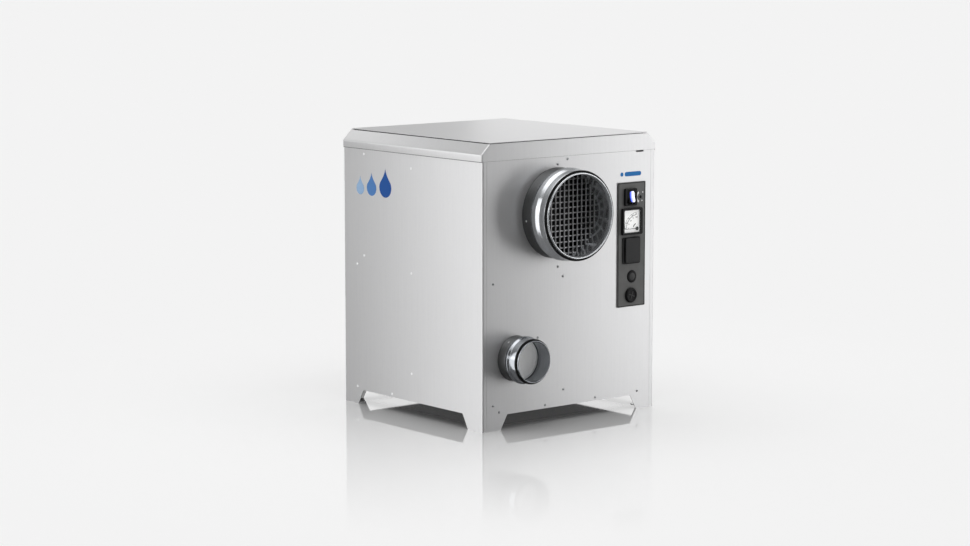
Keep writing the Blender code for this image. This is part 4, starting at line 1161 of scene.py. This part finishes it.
def drop_outline(foot, height):
    """A water drop: a round belly that draws up to a point."""
    belly = height * 0.34
    middle = (foot[0], foot[1] + belly)
    tip = (foot[0], foot[1] + height)
    outline = arc(middle, belly, math.radians(150), math.radians(390), 32)
    wide, low = outline[-1][0] - foot[0], outline[-1][1]
    rise = tip[1] - low
    neck = [(wide * (1 - share) ** 1.6, low + rise * share) for share in (0.25, 0.5, 0.75)]
    outline += [(foot[0] + half, z) for half, z in neck]
    outline.append(tip)
    outline += [(foot[0] - half, z) for half, z in reversed(neck)]
    return outline


def side_film():
    """A plain mark for humid air: three drops, pale to deep, on the left side."""
    low_z = 0.386
    drops = (
        ("pale", 0.150, 0.034, PALE_BLUE),
        ("mid", 0.116, 0.042, MID_BLUE),
        ("deep", 0.075, 0.052, DEEP_BLUE),
    )
    for name, y, height, finish in drops:
        outline = drop_outline((y, low_z), height)
        film = slab(f"side_film_{name}", [outline], "X", LEFT - 0.00015, LEFT + 0.00005)
        placed(smoothed(film, 30), finish)


def front_film():
    """A plain blue bar over the control strip."""
    x = middle_of("control_plate").x
    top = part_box("control_plate")[1].z
    bar = rounded_rectangle((x + 0.004, top + 0.0145), 0.040, 0.0080, 0.0038)
    dot = circle((x - 0.0225, top + 0.0145), 0.0038, 32)
    print_marks("front_film", [[bar], [dot]], FRONT, BAR_BLUE)


# ---------------------------------------------------------------- inside

def paint_inside():
    """The CAD pieces that keep their shape get these materials."""
    finishes = {
        INNER: (
            "divider_plate", "front_bulkhead", "rear_bulkhead", "fan_plate",
            "filter_housing", "wet_air_hood", "rotor_rim", "gear_motor", "fan_bracket",
            "fan_motor_rotor", "heater_duct", "din_rail",
        ),
        # The base pan's near black is painted shade under the unit.
        PAN_PAINTED_SHADE: ("base_pan",),
        BRIGHT: ("rotor_axle", "rotor_bearing_front", "rotor_bearing_rear"),
        ALUMINIUM: ("rotor_hub", "fan_inlet_ring", "fan_impeller", "heater_element"),
        SEAL: ("front_rotor_seal", "rear_rotor_seal", "drive_belt"),
        BLACK: ("filter_frame", "drive_pulley", "fan_motor_stator", "overheat_thermostat"),
        GREY: ("contactor",),
        WHITE: ("terminal_block",),
        HONEYCOMB: ("rotor_core",),
        CLOTH: ("filter_media",),
    }
    for finish, names in finishes.items():
        for name in names:
            NODES[name].data.materials.clear()
            NODES[name].data.materials.append(finish)


# ---------------------------------------------------------------- studio

CAMERA_PLACE = (-3.0439, -3.6840, 0.8968)
CAMERA_HEADING = 0.685518
CAMERA_DIP = 0.136453
CAMERA_LENS = 98.2


def add_camera():
    data = bpy.data.cameras.new("camera")
    with_settings(data, lens=CAMERA_LENS, sensor_width=36, clip_end=200)
    camera = in_scene("camera", data)
    level = math.cos(CAMERA_DIP)
    heading = (math.sin(CAMERA_HEADING) * level, math.cos(CAMERA_HEADING) * level)
    look = Vector((*heading, -math.sin(CAMERA_DIP)))
    camera.location = CAMERA_PLACE
    camera.rotation_mode = "QUATERNION"
    camera.rotation_quaternion = look.to_track_quat("-Z", "Y")
    bpy.context.scene.camera = camera


BACKDROP = 0.888
# The floor's mirror: its share at the unit's edge and under it, and how far it reaches
POLISH = 0.62
POLISH_UNDER = 0.80
POLISH_INSET = 0.05
POLISH_REACH = 0.80
# The mirror fades between these two slants of view, and is gone when seen from above
SLANT_GONE = 0.66
SLANT_FULL = 0.77


def floor():
    """A pale floor, polished near the unit and matt farther away."""
    made, tree, shader = new_material("studio_floor")
    matt = {"Base Color": (0.93, 0.93, 0.93, 1), "Roughness": 0.9, "Specular IOR Level": 0.0}
    connect(tree, shader, matt)
    polish = new_node(tree, "BsdfGlossy", {"Roughness": 0.05, "Color": (1, 1, 1, 1)})
    vector = "VectorMath"
    spread = maths(tree, "ABSOLUTE", coordinates(tree), kind=vector)
    beyond = maths(tree, "SUBTRACT", spread, (RIGHT, BACK, 0), kind=vector)
    clipped = maths(tree, "MAXIMUM", beyond, (0, 0, 0), kind=vector)
    length = new_node(tree, vector, {0: clipped}, operation="LENGTH").outputs["Value"]
    curved = maths(tree, "POWER", map_range(tree, length, POLISH_REACH, 0.0), 1.5)
    sides = new_node(tree, "SeparateXYZ", {"Vector": beyond})
    edge = maths(tree, "MAXIMUM", sides.outputs["X"], sides.outputs["Y"])
    under = map_range(tree, edge, -POLISH_INSET, 0.0, POLISH_UNDER, POLISH)
    slant = new_node(tree, "LayerWeight", {}).outputs["Facing"]
    low = map_range(tree, slant, SLANT_GONE, SLANT_FULL)
    gloss = maths(tree, "MULTIPLY", maths(tree, "MULTIPLY", curved, under), low)
    layers = {0: gloss, 1: shader.outputs["BSDF"], 2: polish.outputs["BSDF"]}
    blend = new_node(tree, "MixShader", layers)
    tree.links.new(blend.outputs["Shader"], tree.nodes["Material Output"].inputs["Surface"])
    shape = bmesh.new()
    bmesh.ops.create_grid(shape, x_segments=1, y_segments=1, size=60)
    plane = from_bmesh("floor", shape)
    plane.data.materials.append(made)
    plane.visible_glossy = False
    return plane


# The ceiling's brightness by height: dark walls with a bright band, and a bright top
SKY = (
    (0.0, 0.08), (0.08, 0.08), (0.11, BACKDROP), (0.27, BACKDROP),
    (0.32, 0.08), (0.58, 0.08), (0.90, 1.93),
)
# After this many bounces a ray finds the same sky without its bright band
BAND_BOUNCES = 2.5


def world():
    """A soft ceiling over dark walls; the camera sees only the pale backdrop."""
    made = bpy.data.worlds.new("studio")
    bpy.context.scene.world = made
    made.use_nodes = True
    tree = made.node_tree
    tree.nodes.clear()
    source = new_node(tree, "TexCoord", {})
    height = new_node(tree, "SeparateXYZ", {"Vector": source.outputs["Generated"]}).outputs["Z"]
    near = levels(tree, height, SKY)
    far = levels(tree, height, (SKY[0], *SKY[-2:]))
    path = new_node(tree, "LightPath", {})
    bounced = maths(tree, "GREATER_THAN", path.outputs["Ray Depth"], BAND_BOUNCES)
    sky = mixed(tree, near, far, bounced)
    light = new_node(tree, "Background", {"Color": sky}).outputs["Background"]
    pale = {"Color": (BACKDROP, BACKDROP, BACKDROP, 1)}
    seen = new_node(tree, "Background", pale).outputs["Background"]
    blend = new_node(tree, "MixShader", {0: path.outputs["Is Camera Ray"], 1: light, 2: seen})
    new_node(tree, "OutputWorld", {"Surface": blend.outputs["Shader"]})


# Softboxes: name, place, way faced, width, height, brightness
SOFTBOXES = (
    ("left_box", (-0.95, 0.280, 0.20), (1, 0, 0), 1.20, 1.64, 1.52),
    ("right_box", (1.70, -1.12, 0.255), (0, 1, 0), 2.00, 1.35, 1.60),
    ("rear_right_box", (0.75, 0.30, 0.60), (-1, 0, 0), 1.40, 1.4, 0.5),
    ("back_box", (0.65, 1.12, -0.55), (0, -1, 0), 2.30, 1.9, 0.95),
    ("rear_top_box", (-0.40, 0.62, 0.84), (0, -1, 0), 0.80, 0.26, 0.60),
)


def softboxes(lit_floor):
    """Large soft lights round the unit, which leave the floor to the ceiling's light."""
    receivers = bpy.data.collections.new("not_lit_by_softboxes")
    receivers.objects.link(lit_floor)
    receivers.collection_objects[0].light_linking.link_state = "EXCLUDE"
    for name, place, way, width, height, level in SOFTBOXES:
        data = bpy.data.lights.new(name, "AREA")
        with_settings(data, shape="RECTANGLE", size=width, size_y=height)
        data.energy = math.pi * width * height * level
        lamp = in_scene(name, data)
        lamp.location = place
        lamp.rotation_euler = Vector(way).to_track_quat("-Z", "Y").to_euler()
        lamp.visible_camera = False
        lamp.light_linking.receiver_collection = receivers


add_camera()
side_sheet("left_side_sheet", "left_side_panel", -1)
side_sheet("right_side_sheet", "right_side_panel", 1)
front_sheet()
back_sheet()
lid()
large_collar("inlet", INLET, -1)
inlet_guard()
wet_air_collar()
large_collar("outlet", OUTLET, 1)
control_plate()
rocker()
strip_marks()
meter()
socket()
hole_plugs()
side_film()
front_film()
paint_inside()
world()
softboxes(floor())
bpy.context.scene.view_settings.view_transform = "Standard"
